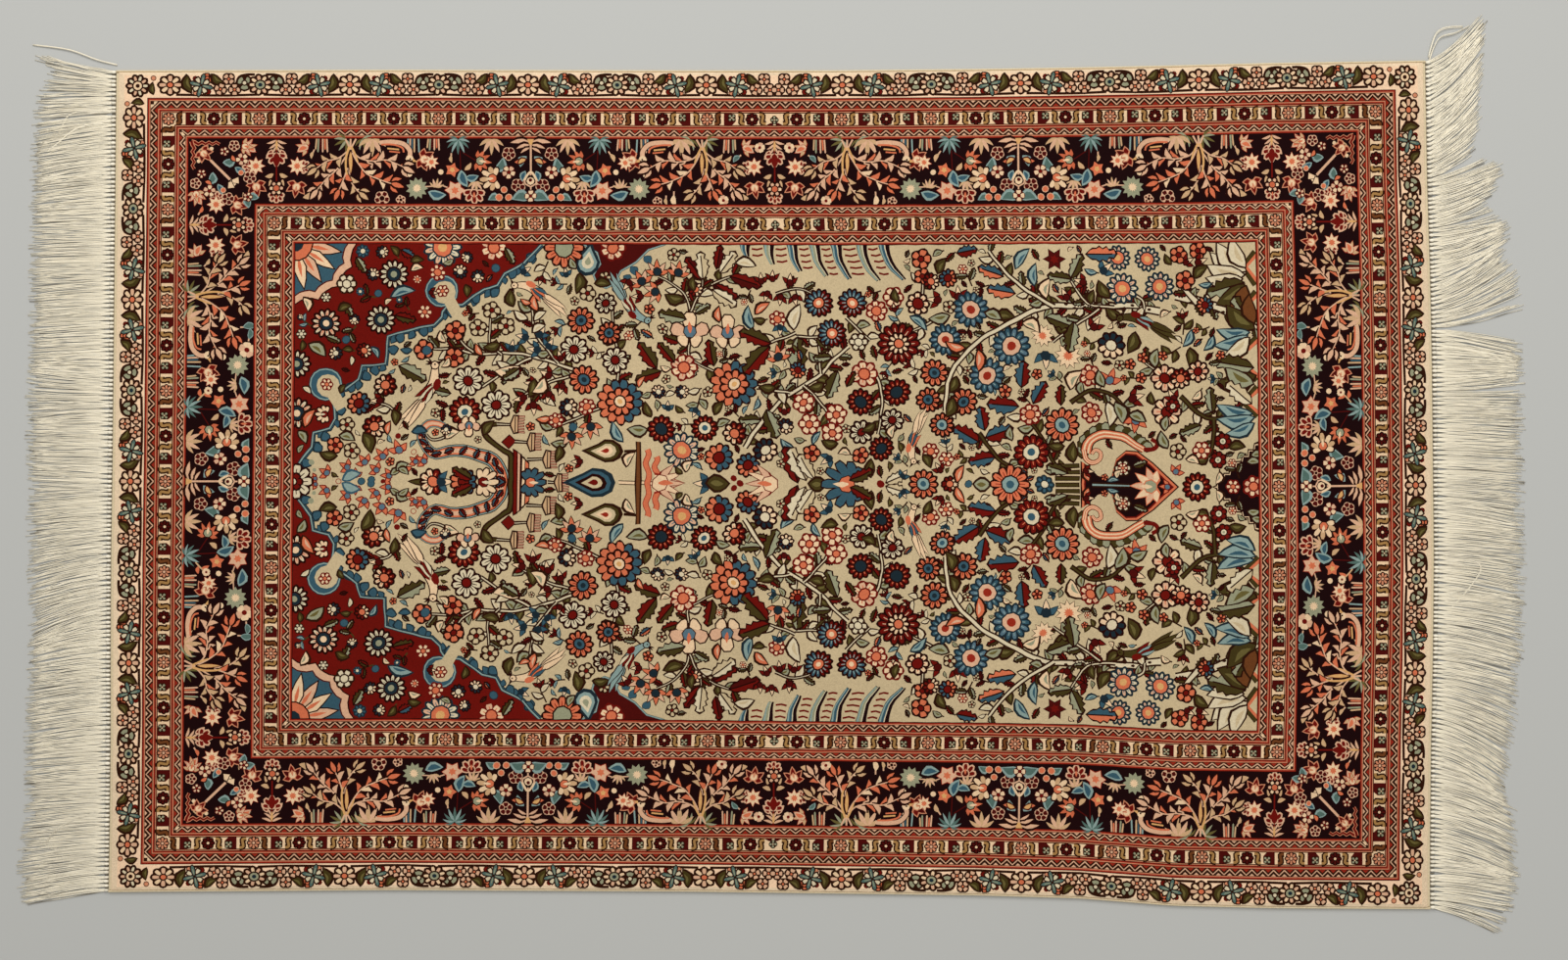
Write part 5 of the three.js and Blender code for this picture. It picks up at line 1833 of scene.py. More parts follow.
        (OPEN_CORAL, 433, 37, 9.5, 0), (SAGE_LEAF, 398, 40, 16, 110), (OLIVE_LEAF, 462, 40, 14, 0),
        (CREAM_LEAF, 418, 28, 12, -20), (TULIP, 408, 17, 6, 60), (SAGE_LEAF, 396, 58, 13, 80),
    )
    AXIS_FLOWERS = (
        (GREY, -490, 0, 19, 0), (RED_SMALL, -492, 0, 11, 0), (OLIVE_LEAF, -356, 0, 16, 180),
        (CREAM_RED, -349, 0, 14.5, -90), (BLUE_BUD, -338, 0, 9, 0), (CORAL_BLUE, -318, 0, 14.5, -90),
        (RED_OLIVE, -310, 3, 20, 150), (CREAM_FAN, -294, 0, 11, 0), (PALMETTE, -246, 0, 11, 0),
        (SEED, -184, 0, 48, 180), (GREEN_SEED, -172, 33, 38, 180), (FLAME, -112, 0, 18, 0),
        (CREAM_LEAF, -152, 18, 14, 60), (CREAM_LEAF, -92, 12, 12, 60), (OLIVE_LEAF, -96, 10, 8, 130),
        (BLUE_BUD, -74, 0, 9, 180), (OLIVE_LEAF, -70, 0, 20, 0), (RED_DOT, -43, 5, 3.2, 0),
        (RED_DOT, -37, 0, 3.6, 0), (FLAME, -12, 0, 18, 180), (GARNET_LEAF, 22, 2, 36, 110),
        (OPEN_PAIR, 30, 4, 34, 116), (OPEN_PAIR, 38, 6, 26, 122), (OLIVE_LEAF, 34, 0, 16, 0),
        (PALMETTE, 66, 0, 18, 180), (RED_OLIVE, 76, 4, 22, 25), (RED_DOT, 106, 0, 4, 0),
        (OPEN_PAIR, 112, 2, 20, 20), (BLUE_BUD, 130, 10, 5, 60), (CORAL_CREAM, 150, 0, 15.5, 0),
        (CREAM_RED, 177, 0, 9, 90), (CORAL_LEAF, 184, 3, 16, 65), (BLUE_DOT, 196, 0, 4, 0),
        (SAGE_LEAF, 202, 0, 15, 0), (CORAL_CREAM, 238, 0, 20.5, 0), (BLUE_SMALL, 273, 0, 10, 0),
        (RED, 428, 0, 15, 0),
    )
    # Stems: their points, their width and their silk, which is PALE where none is named.
    STEMS = (
        (((-204, 116), (-235, 127), (-267, 134), (-306, 133), (-322, 138)), 3.4),
        (((-306, 133), (-318, 142), (-327, 155)), 2.6), (((-322, 138), (-350, 138)), 2.6),
        (((-222, 124), (-244, 152), (-248, 172), (-250, 190)), 2.6),
        (((-204, 112), (-230, 104), (-262, 88)), 2.6), (((-242, 98), (-238, 84)), 2.2),
        (((-280, 132), (-292, 145), (-290, 176)), 2.4), (((-250, 129), (-275, 116), (-300, 98)), 3.0),
        (((-385, 66), (-394, 78), (-412, 82)), 2.6),
        (((-166, 84), (-160, 120), (-166, 160), (-166, 186)), 2.6),
        (((-178, 78), (-205, 66), (-228, 56)), 2.4), (((-88, 146), (-88, 130), (-64, 116)), 2.4),
        (((-88, 176), (-90, 190), (-102, 204), (-120, 214)), 2.4),
        (((-88, 176), (-76, 198), (-55, 211), (-42, 215)), 2.4), (((-76, 198), (-74, 214)), 2.0),
        (((-32, 37), (-14, 65), (10, 90), (41, 110), (61, 131), (74, 142)), 4.4),
        (((-20, 100), (14, 94)), 3.2), (((28, 102), (50, 78), (54, 60)), 2.6),
        (((45, 114), (44, 150)), 2.6), (((20, 156), (0, 148), (-12, 144)), 2.6),
        (((20, 152), (44, 152)), 2.6), (((72, 172), (96, 148)), 2.6),
        (((0, 196), (20, 202), (40, 196)), 2.2), (((160, 168), (140, 158)), 2.6),
        (((100, 118), (108, 90), (104, 52)), 3.0), (((392, 178), (340, 184), (314, 183)), 7.0),
        (((376, 184), (314, 183), (274, 182), (233, 163), (204, 145), (178, 114), (172, 75)), 5.6),
        (((284, 182), (250, 204), (230, 224), (218, 240)), 4.0),
        (((346, 182), (318, 186), (300, 212)), 2.8), (((330, 180), (304, 162), (282, 146)), 2.8),
        (((300, 84), (318, 96), (339, 94), (360, 76)), 3.4, Silk.OLIVE),
        (((362, 196), (374, 190), (376, 180)), 3.0), (((206, 53), (225, 28), (241, 16)), 3.4, Silk.OLIVE),
        (((300, 14), (284, 20), (270, 50), (250, 72)), 3.0, Silk.OLIVE),
        (((412, 92), (438, 70), (470, 72)), 3.8, Silk.OLIVE),
        (((446, 68), (445, 46), (440, 30)), 3.6, Silk.OLIVE), (((408, 194), (450, 182), (490, 160)), 8.6),
        (((430, 186), (418, 200)), 6.4), (((150, 196), (150, 214)), 2.4), (((395, 112), (376, 126)), 2.4),
    )
    # Where the brown spots of the thickest stems are.
    SPOTTED = (
        [(296 + 8.5 * i, 182.5 + 1.2 * math.sin(0.4 * i)) for i in range(11)],
        [(414 + 8.5 * i, 192.0 - 3.4 * i) for i in range(9)],
    )

    LEAF_SPACING = 8.2  # knots from leaf to leaf along a stem
    LEAF_LENGTH = 12.5
    STEM_GROWTH = 0.6  # knots that the stems are thicker than listed
    CORNER_GROWTH = 0.98  # the corner's motifs as a share of their listed size
    GROWTH = 1.05  # all the others

    @classmethod
    def draw(cls) -> Chart:
        """Draw the field's half."""
        length, width = cls.HALF_LENGTH, cls.HALF_WIDTH
        chart = Chart([(-length, 0), (length, 0), (length, width), (-length, width)], Silk.FIELD)
        for left, low, right, high in cls.RESERVED:
            chart.block(left, low, right, high)
        pen = Pen(chart)
        cls.spandrel(pen)
        cls.lobe(pen)
        cls.ladders(pen)
        kinds = (cls.OLIVE_LEAF, cls.SAGE_LEAF, cls.RED_OLIVE, cls.OPEN_LEAF, cls.SAGE_OLIVE,
                 cls.GARNET_LEAF)
        for i, stem in enumerate(Stem(*row) for row in cls.STEMS):
            route = bow(list(stem.path))
            cls.leaves(pen, route, kinds[i % 3:] + kinds[:i % 3], cls.LEAF_SPACING, cls.LEAF_LENGTH)
            cls.stem(pen, route, stem.thick + cls.STEM_GROWTH, stem.ink)
        for path in cls.SPOTTED:
            for i, (x, y) in enumerate(path):
                pen.at(x, y + (2.6, -2.2, 1.4)[i % 3]).fill(ring(2.3, 5, squeeze=0.7), Silk.BROWN)
        cls.vase(pen)
        cls.stand(pen)
        cls.columns(pen)
        cls.urn(pen)
        cls.mound(pen)
        plant(pen, cls.SPANDREL_FLOWERS, cls.CORNER_GROWTH)
        for table in (cls.LEFT_FLOWERS, cls.TULIP_ROWS, cls.MIDDLE_FLOWERS, cls.RIGHT_FLOWERS,
                      cls.AXIS_FLOWERS):
            plant(pen, table, cls.GROWTH)
        for left, low, right, high in cls.RED_GROUNDS:
            cls.RED_FILLING.draw(chart, (left, low), (right, high), 200.0)
            chart.block(left, low, right, high)
        cls.FILLING.draw(chart, (-length + 2, 3), (length - 12, width - 2), 180.0)
        return chart

    @classmethod
    def leaves(cls, pen: Pen, path: Outline, kinds: tuple[Motif, ...], spacing: float, size: float) -> None:
        """Set leaves along a stem, turn about on its two sides.

        Args:
            pen: the field's.
            path: the stem's points.
            kinds: the leaves, in turn.
            spacing: knots from leaf to leaf.
            size: each leaf's length.
        """
        left, count = spacing * 0.6, 0
        for (ax, ay), (bx, by) in zip(path, path[1:]):
            length = math.hypot(bx - ax, by - ay)
            turn = math.degrees(math.atan2(by - ay, bx - ax))
            while left < length:
                share = left / length
                side = 1 if count % 2 else -1
                foot = pen.at(ax + (bx - ax) * share, ay + (by - ay) * share, turn + 50 * side)
                kinds[count % len(kinds)].draw(foot.at(1.2, 0), size * (0.85 + 0.3 * (count * 7 % 5) / 4))
                left += spacing
                count += 1
            left -= length

    @classmethod
    def stem(cls, pen: Pen, path: Outline, thick: float, ink: Silk = Silk.PALE) -> None:
        """Draw a stem with a dark line on both sides.

        Args:
            pen: the field's.
            path: the stem's points.
            thick: its width with the lines.
            ink: its silk.
        """
        pen.line(path, thick + 1.6, Silk.BROWN, 0.75)
        pen.line(path, thick - 2.0, ink, 0.6)

    @classmethod
    def spandrel(cls, pen: Pen) -> None:
        """Draw the red corner with its stepped and curled edge and the quarter medallion."""
        edge = [(-239, 247), (-257, 227), (-277, 216), (-284, 204), (-298, 200), (-320, 184), (-334, 184),
                (-340, 176), (-341, 171), (-349, 163), (-367, 159), (-396, 151), (-398, 122), (-422, 120),
                (-426, 106), (-439, 96), (-450, 94), (-451, 82), (-449, 65), (-455, 55), (-471, 51),
                (-473, 36), (-491, 12)]
        pen.lines(edge, ((7.0, Silk.INK_BLUE), (4.6, Silk.BLUE)))
        cls.leaves(pen, edge, (Leaf(Silk.BLUE, Silk.INK_BLUE, width=0.7),), 9.5, 8.0)
        pen.fill(edge + [(-491, 247)], Silk.CRIMSON)
        for x, y, turn in ((-249, 232, 220), (-268, 216, 240), (-286, 196, 230), (-305, 190, 240),
                           (-330, 176, 250), (-358, 156, 260), (-382, 149, 250), (-391, 138, 0),
                           (-408, 116, 270), (-417, 110, 300), (-432, 98, 250), (-444, 75, 0),
                           (-458, 47, 300), (-466, 36, 300), (-478, 20, 320)):
            Leaf(Silk.BLUE, Silk.INK_BLUE, width=0.8, rim=1.6).draw(pen.at(x, y, turn + 180).at(-5, 0), 10)
        pen.lines(edge, ((3.4, Silk.INK_BLUE), (1.5, Silk.SKY)))
        for x, y, mouth in ((-341, 198, 300), (-459, 101, 300)):
            local = pen.at(x, y)
            local.rings(((17.5, Silk.INK_BLUE), (16.6, Silk.SKY), (15.2, Silk.BLUE)), 16)
            local.at(2.5, -1.5).fill(ring(12, 12), Silk.FIELD)
            local.at(10, -14, mouth).fill([(-6, -6), (13, -6), (13, 6), (-6, 6)], Silk.FIELD)
            cls.OPEN_CORAL.draw(local.at(1, 0), 7)
        local = pen.at(-491, 247)
        for radius, ink in ((64, Silk.MAROON), (62.5, Silk.BLUSH), (55, Silk.GARNET), (53.5, Silk.BLUE)):
            local.fill(lobed(radius, 16, 0.07), ink)
        for i in range(4):
            turn = -11 - 22.5 * i
            local.at(0, 0, turn).fill(petal(10, 50, 15, 0.0), Silk.MAROON)
            local.at(0, 0, turn).fill(petal(12, 47, 12, 0.0), Silk.CREAM if i % 2 else Silk.BLUSH)
            local.at(0, 0, turn).fill(petal(16, 36, 4, 0.0), Silk.CORAL)
        local.rings(((19, Silk.MAROON), (17.5, Silk.CORAL)), 14)
        local.fill(ring(9, 10), Silk.INK_BLUE)

    @classmethod
    def lobe(cls, pen: Pen) -> None:
        """Draw the small red lobe that hangs from the field's far side."""
        edge = [(-196, 247), (-182, 238), (-179, 226), (-186, 215), (-183, 206), (-173, 202), (-164, 206),
                (-158, 219), (-142, 229), (-130, 241), (-112, 247)]
        for x, y, turn in ((-166, 204, 300), (-155, 214, 320), (-148, 224, 300), (-134, 234, 310)):
            Leaf(Silk.BLUE, Silk.INK_BLUE, width=0.8, rim=0.6).draw(pen.at(x, y, turn), 10)
        pen.fill(edge, Silk.GARNET)
        pen.lines(edge, ((2.4, Silk.INK_BLUE), (1.5, Silk.SKY)))
        cls.PEACH.draw(pen.at(-166, 243), 14)
        cls.OPEN.draw(pen.at(-174, 213), 6.5)
        local = pen.at(-192, 228, 80)
        Drop((Silk.INK_BLUE, Silk.SKY, Silk.PALE, Silk.SAGE), 0.75).draw(local, 34)

    @classmethod
    def ladders(cls, pen: Pen) -> None:
        """Draw the striped bands with rungs that hang from the field's far side."""
        # Knots along from the field's middle, how far each band hangs down, and how far it leans.
        rows = ((-34, 12, 3), (-10, 20, 5), (14, 27, 9), (37, 32, 13), (59, 35, 15), (85, 37, 18),
                (108, 36, 21))
        for i, (x, drop, slant) in enumerate(rows):
            for offset, thick, ink in (
                (3.0, 11.5, Silk.INK_BLUE), (1.0, 6.0, (Silk.BLUE, Silk.SAGE)[i % 2]),
                (-0.6, 2.0, Silk.SKY), (6.0, 4.6, Silk.NAVY), (3.6, 1.2, Silk.PALE),
            ):
                path = bow([(x + offset, 247), (x + offset * 0.9 + slant * 0.25, 247 - drop * 0.5),
                            (x + offset * 0.6 + slant, 247 - drop)], 3)
                pen.line(path, thick, ink, 0.4)
            if i + 1 < len(rows):
                for k in range(min(5, int(drop / 6))):
                    y = 243 - k * 6.4
                    start = x + 10 + slant * 0.15 * k
                    end = rows[i + 1][0] - 3 + slant * 0.15 * k
                    pen.line([(start, y), ((start + end) / 2, y - 1.2), (end, y)], 2.0, Silk.CRIMSON)

    @classmethod
    def vase(cls, pen: Pen) -> None:
        """Draw the far arm of the scrolled vase that opens to the left."""
        arm = bow([(-279, -1), (-281, 12), (-289, 23), (-305, 29), (-326, 33), (-346, 29), (-357, 37),
                   (-361, 50), (-354, 60), (-343, 60), (-334, 53)], 3)
        pen.lines(arm, ((17.0, Silk.BROWN), (14.8, Silk.SKY), (12.4, Silk.BROWN), (10.4, Silk.CORAL),
                        (6.0, Silk.BLUSH)), 0.42)
        for i, (x, y) in enumerate(arm[1:-9:2]):
            cls.BLUE_GARNET.draw(pen.at(x, y, 150 - 20 * i).at(-4, 0), 8)
        cls.RED_BUD.draw(pen.at(-334, 53, -40), 6)
        cls.stem(pen, bow([(-330, 56), (-338, 46), (-350, 44), (-356, 49)]), 3.0)
        cls.CREAM_LEAF.draw(pen.at(-336, 45, 30), 15)

    @classmethod
    def stand(cls, pen: Pen) -> None:
        """Draw the vase's green stand, its stepped base and the candle cups."""
        cls.stem(pen, bow([(-270, -1), (-270, 26), (-277, 33), (-291, 43), (-297, 51), (-293, 58),
                           (-284, 60)]), 5.4, Silk.OLIVE)
        cls.OLIVE_LEAF.draw(pen.at(-298, 50, 50), 16)
        for x, half, ink in ((-267, 35, Silk.CRIMSON), (-263, 32, Silk.BLUSH), (-260, 29, Silk.MAROON),
                             (-258.5, 27, Silk.CREAM), (-255, 24, Silk.CORAL)):
            pen.fill([(x - 1, -1), (x + 4.2, -1), (x + 4.2, half - 3), (x - 1, half)], Silk.MAROON)
            pen.fill([(x, -1), (x + 3.2, -1), (x + 3.2, half - 4.4), (x, half - 1.6)], ink)
        pen.at(-272, 42).rings(((8, Silk.MAROON), (6.6, Silk.CRIMSON)), 4)
        for x, y, foot in ((-271, 60, -284), (-254, 42, -266), (-238, 24, -254), (-226, 0, -232)):
            cls.stem(pen, [(foot, y), (x + 2, y)], 2.8)
            Candles().draw(pen.at(x, y), 9.5)

    @classmethod
    def columns(cls, pen: Pen) -> None:
        """Draw the upright posts and wavy coral bands right of the teardrops."""
        pen.line([(-160, 0), (-110, 0)], 4.4, Silk.BROWN)
        pen.line([(-160, 0), (-112, 0)], 2.6, Silk.CREAM)
        pen.line([(-155, 33), (-142, 33)], 3.0, Silk.BROWN)
        cls.stem(pen, [(-140, -1), (-140, 43)], 5.8, Silk.RUST)
        for x, half in ((-131, 35), (-122, 27)):
            path = bow([(x, -1), (x + 1.5, half * 0.3), (x - 1.5, half * 0.6), (x + 1, half * 0.85),
                        (x, half)], 3)
            pen.lines(path, ((6.2, Silk.RED), (4.6, Silk.CORAL)))
        for reach, ink in ((11, Silk.RED), (8.6, Silk.CREAM), (5, Silk.CORAL)):
            pen.fill([(-124, reach), (-104, reach * 0.45), (-92, 0), (-104, -reach * 0.45),
                      (-124, -reach)], ink)

    @classmethod
    def urn(cls, pen: Pen) -> None:
        """Draw the dark urn that lies with its mouth to the right, and its far handle."""
        body = [(310, -24), (310, 24), (314, 22), (324, 11), (340, 6), (343, 16), (346, 28), (356, 36),
                (368, 36), (384, 24), (410, 0), (384, -24), (368, -36), (346, -28), (340, -6), (324, -11),
                (314, -22)]
        middle = 350
        for share, ink in ((1.0, Silk.MAROON), (0.965, Silk.CORAL), (0.91, Silk.CRIMSON),
                           (0.87, Silk.NAVY)):
            pen.fill([(middle + (x - middle) * share, y * share) for x, y in body], ink)
        cls.WHITE_SMALL.draw(pen.at(353, 18), 9)
        cls.OPEN_CORAL.draw(pen.at(353, 18), 5.5)
        Fan(7, Silk.CREAM, Silk.SAGE, Silk.CORAL, Silk.BLUSH, Silk.CREAM, 200).draw(pen.at(376, 0, 180), 15)
        cls.stem(pen, [(322, 0), (360, 0)], 4.0, Silk.SKY)
        cls.CORAL_LEAF.draw(pen.at(318, 4, 100), 13)
        cls.TULIP.draw(pen.at(396, 0, 180), 6)
        plant(pen, ((cls.SAGE_OLIVE, 364, 20, 13, 20), (cls.CREAM_LEAF, 346, 8, 9, 60),
                    (cls.SKY_LEAF, 338, 4, 10, 10), (cls.RED_BUD, 317, 14, 6, 0),
                    (cls.CORAL_SMALL, 334, 8, 4, 0)))
        handle = bow([(315, 33), (320, 46), (334, 52), (352, 50), (366, 42), (374, 37)], 3)
        curl = bow([(313, 36), (315, 27), (322, 23), (329, 26), (330, 33), (325, 36), (321, 32)], 3)
        outer = bow([(312, 32), (314, 46), (330, 58), (350, 57), (368, 48), (378, 40)], 3)
        for x, y in outer:
            pen.at(x, y).fill(ring(6.2, 7), Silk.BROWN)
        for i, (x, y) in enumerate(outer):
            pen.at(x, y).fill(ring(4.8, 7), (Silk.OLIVE, Silk.SAGE)[i % 2])
        layers = ((12.6, Silk.BROWN), (9.6, Silk.CORAL), (6.4, Silk.CREAM), (2.4, Silk.CORAL))
        for path, grow in ((handle, 1.0), (curl, 0.5)):
            pen.lines(path, tuple((thick * grow, ink) for thick, ink in layers), 0.6)
        for i in range(6):
            y = 3.2 + 6.4 * i - 16
            for left, right, half, ink in ((284, 309, 2.4, Silk.BROWN), (285, 308, 1.4, Silk.OLIVE)):
                pen.fill([(left, y - half), (right, y - half), (right, y + half), (left, y + half)], ink)
        pen.line(bow([(374, 37), (384, 38), (388, 44), (382, 48)]), 4.4, Silk.CRIMSON)

    @classmethod
    def mound(cls, pen: Pen) -> None:
        """Draw the dark triangle and the zigzag banks at the field's right end."""
        steps = [(446, 0)]
        for i in range(1, 8):
            steps += [(446 + 6.3 * i - 3, 6 * i - 6), (446 + 6.3 * i - 2, 6 * i)]
        for foot, left, up, top, ink in ((443, 1.6, 2.2, 46, Silk.BROWN),
                                         (445.4, 0.6, 0.7, 43.5, Silk.CREAM)):
            around = [(x - left, y + up) for x, y in steps[1:]]
            pen.fill([(foot, 0)] + around + [(491, top), (491, 0)], ink)
        pen.fill(steps + [(491, 42), (491, -1), (446, -1)], Silk.NAVY)
        cls.OPEN_CORAL.draw(pen.at(465, 0), 8)
        Bloom(7, Silk.CREAM, Silk.CORAL, Silk.CRIMSON, Silk.BLUSH).draw(pen.at(486, 0), 12)
        for x, y in ((480, 25), (484, 32)):
            cls.SAGE_LEAF.draw(pen.at(x, y), 12)
        for bank in ([(491, 236), (478, 222), (491, 204)], [(491, 196), (480, 184), (491, 166)],
                     [(491, 150), (470, 130), (491, 108)], [(491, 100), (476, 86), (491, 72)]):
            pen.lines(bank, ((8.4, Silk.BROWN), (6.6, Silk.OLIVE)))
            pen.line([(x + 3, y) for x, y in bank], 3.4, Silk.CORAL)


@dataclass(frozen=True)
class SilkPile:
    """Knotted silk pile: clipped tufts about a millimetre apart, which glow along their sides."""

    attribute: str = "dyed_silk"
    knot_pitch: float = 1.0  # millimetres from knot to knot
    roughness: float = 0.62

    def build(self) -> bpy.types.Material:
        """Make the material, which takes its colour from the piece's own attribute."""
        material = new_material("knotted_silk_pile")
        tree = material.node_tree
        shader = tree.nodes["Principled BSDF"]
        shader.inputs["Roughness"].default_value = self.roughness
        shader.inputs["Specular IOR Level"].default_value = 0.03
        shader.inputs["Sheen Weight"].default_value = 0.015
        shader.inputs["Sheen Roughness"].default_value = 0.45
        shader.inputs["Sheen Tint"].default_value = linear("#FFF2DC")
        dyed = add_node(tree, "ShaderNodeAttribute", {"attribute_name": self.attribute})
        place = add_node(tree, "ShaderNodeTexCoord")
        # Each knot takes the dye a little differently, and so does each dyed lot along the rug.
        knots = add_node(tree, "ShaderNodeTexVoronoi", {"voronoi_dimensions": "2D"},
                         {"Scale": 1 / (self.knot_pitch * MM), "Randomness": 0.55,
                          "Vector": place.outputs["Object"]})
        grain = add_node(tree, "ShaderNodeSeparateColor", {}, {"Color": knots.outputs["Color"]})
        shade = add_node(tree, "ShaderNodeMapRange", {}, {"Value": grain.outputs[0], "To Min": 0.9,
                                                         "To Max": 1.1})
        lots = add_node(tree, "ShaderNodeTexNoise", {}, {"Scale": 7.0, "Detail": 3.0,
                                                        "Vector": place.outputs["Object"]})
        abrash = add_node(tree, "ShaderNodeMapRange", {}, {"Value": lots.outputs["Fac"], "From Min": 0.3,
                                                          "From Max": 0.7, "To Min": 0.93, "To Max": 1.07})
        both = add_node(tree, "ShaderNodeMath", {"operation": "MULTIPLY"},
                        {0: shade.outputs["Result"], 1: abrash.outputs["Result"]})
        tinted = add_node(tree, "ShaderNodeVectorMath", {"operation": "SCALE"},
                          {0: dyed.outputs["Color"], "Scale": both.outputs[0]})
        tree.links.new(tinted.outputs[0], shader.inputs["Base Color"])
        bump = add_node(tree, "ShaderNodeBump", {"invert": True},
                        {"Height": knots.outputs["Distance"], "Strength": 0.35,
                         "Distance": 0.25 * MM})
        tree.links.new(bump.outputs[0], shader.inputs["Normal"])
        return material


@dataclass(frozen=True)
class PlainSilk:
    """Undyed silk warp and weft, woven plainly or left as threads, with a soft lustre."""

    name: str
    colour: str
    dark: str
    thread: float  # millimetres from thread to thread
    attribute: str = ""
    roughness: float = 0.5

    def build(self) -> bpy.types.Material:
        """Make the material, its threads darker here and there."""
        material = new_material(self.name)
        tree = material.node_tree
        shader = tree.nodes["Principled BSDF"]
        shader.inputs["Roughness"].default_value = self.roughness
        shader.inputs["Specular IOR Level"].default_value = 0.25
        shader.inputs["Sheen Weight"].default_value = 0.05
        place = add_node(tree, "ShaderNodeTexCoord")
        noise = add_node(tree, "ShaderNodeTexNoise", {}, {"Scale": 0.35 / (self.thread * MM), "Detail": 4.0,
                                                         "Vector": place.outputs["Object"]})
        # Each thread has taken up a little less or more of the light and dirt of its years; where an
        # attribute is named, its values add the threads' own tone and painted shade.
        share = noise.outputs["Fac"]
        if self.attribute:
            tone_and_painted_shade = add_node(tree, "ShaderNodeAttribute", {"attribute_name": self.attribute})
            share = add_node(tree, "ShaderNodeMath", {"operation": "MULTIPLY_ADD"},
                             {0: noise.outputs["Fac"], 1: 0.22, 2: tone_and_painted_shade.outputs["Fac"]}).outputs[0]
        mix = add_node(tree, "ShaderNodeMix", {"data_type": "RGBA"}, {"Factor": share})
        mix.inputs[6].default_value = linear(self.dark)
        mix.inputs[7].default_value = linear(self.colour)
        tree.links.new(mix.outputs[2], shader.inputs["Base Color"])
        weave = add_node(tree, "ShaderNodeTexWave", {"bands_direction": "DIAGONAL"},
                         {"Scale": 0.5 / (self.thread * MM), "Distortion": 0.6,
                          "Vector": place.outputs["Object"]})
        bump = add_node(tree, "ShaderNodeBump", {}, {"Height": weave.outputs["Fac"], "Strength": 0.3,
                                                    "Distance": 0.2 * MM})
        tree.links.new(bump.outputs[0], shader.inputs["Normal"])
        return material


def new_material(name: str) -> bpy.types.Material:
    """Make an empty material with its shader node."""
    material = bpy.data.materials.new(name)
    material.use_nodes = True
    return material


def add_node(tree: bpy.types.NodeTree, kind: str, settings: dict | None = None,
             values: dict | None = None) -> bpy.types.Node:
    """Add a node with its settings, values and links.

    Args:
        tree: the material's nodes.
        kind: the node's type.
        settings: its own properties.
        values: its inputs by name or number, each a value or another node's output.

    Returns:
        The node.
    """
    node = tree.nodes.new(kind)
    for key, value in (settings or {}).items():
        setattr(node, key, value)
    for key, value in (values or {}).items():
        if isinstance(value, bpy.types.NodeSocket):
            tree.links.new(value, node.inputs[key])
        else:
            node.inputs[key].default_value = value
    return node


def new_object(name: str, points: np.ndarray, faces: list,
               material: bpy.types.Material) -> bpy.types.Object:
    """Make a mesh object whose place is in its mesh.

    Args:
        name: the piece's name.
        points: X, Y and Z of each vertex in millimetres.
        faces: each face's vertices, its front side counter-clockwise.
        material: its finish.

    Returns:
        The object.
    """
    mesh = bpy.data.meshes.new(name)
    mesh.from_pydata((points * MM).tolist(), [], faces)
    mesh.materials.append(material)
    piece = bpy.data.objects.new(name, mesh)
    bpy.context.scene.collection.objects.link(piece)
    return piece


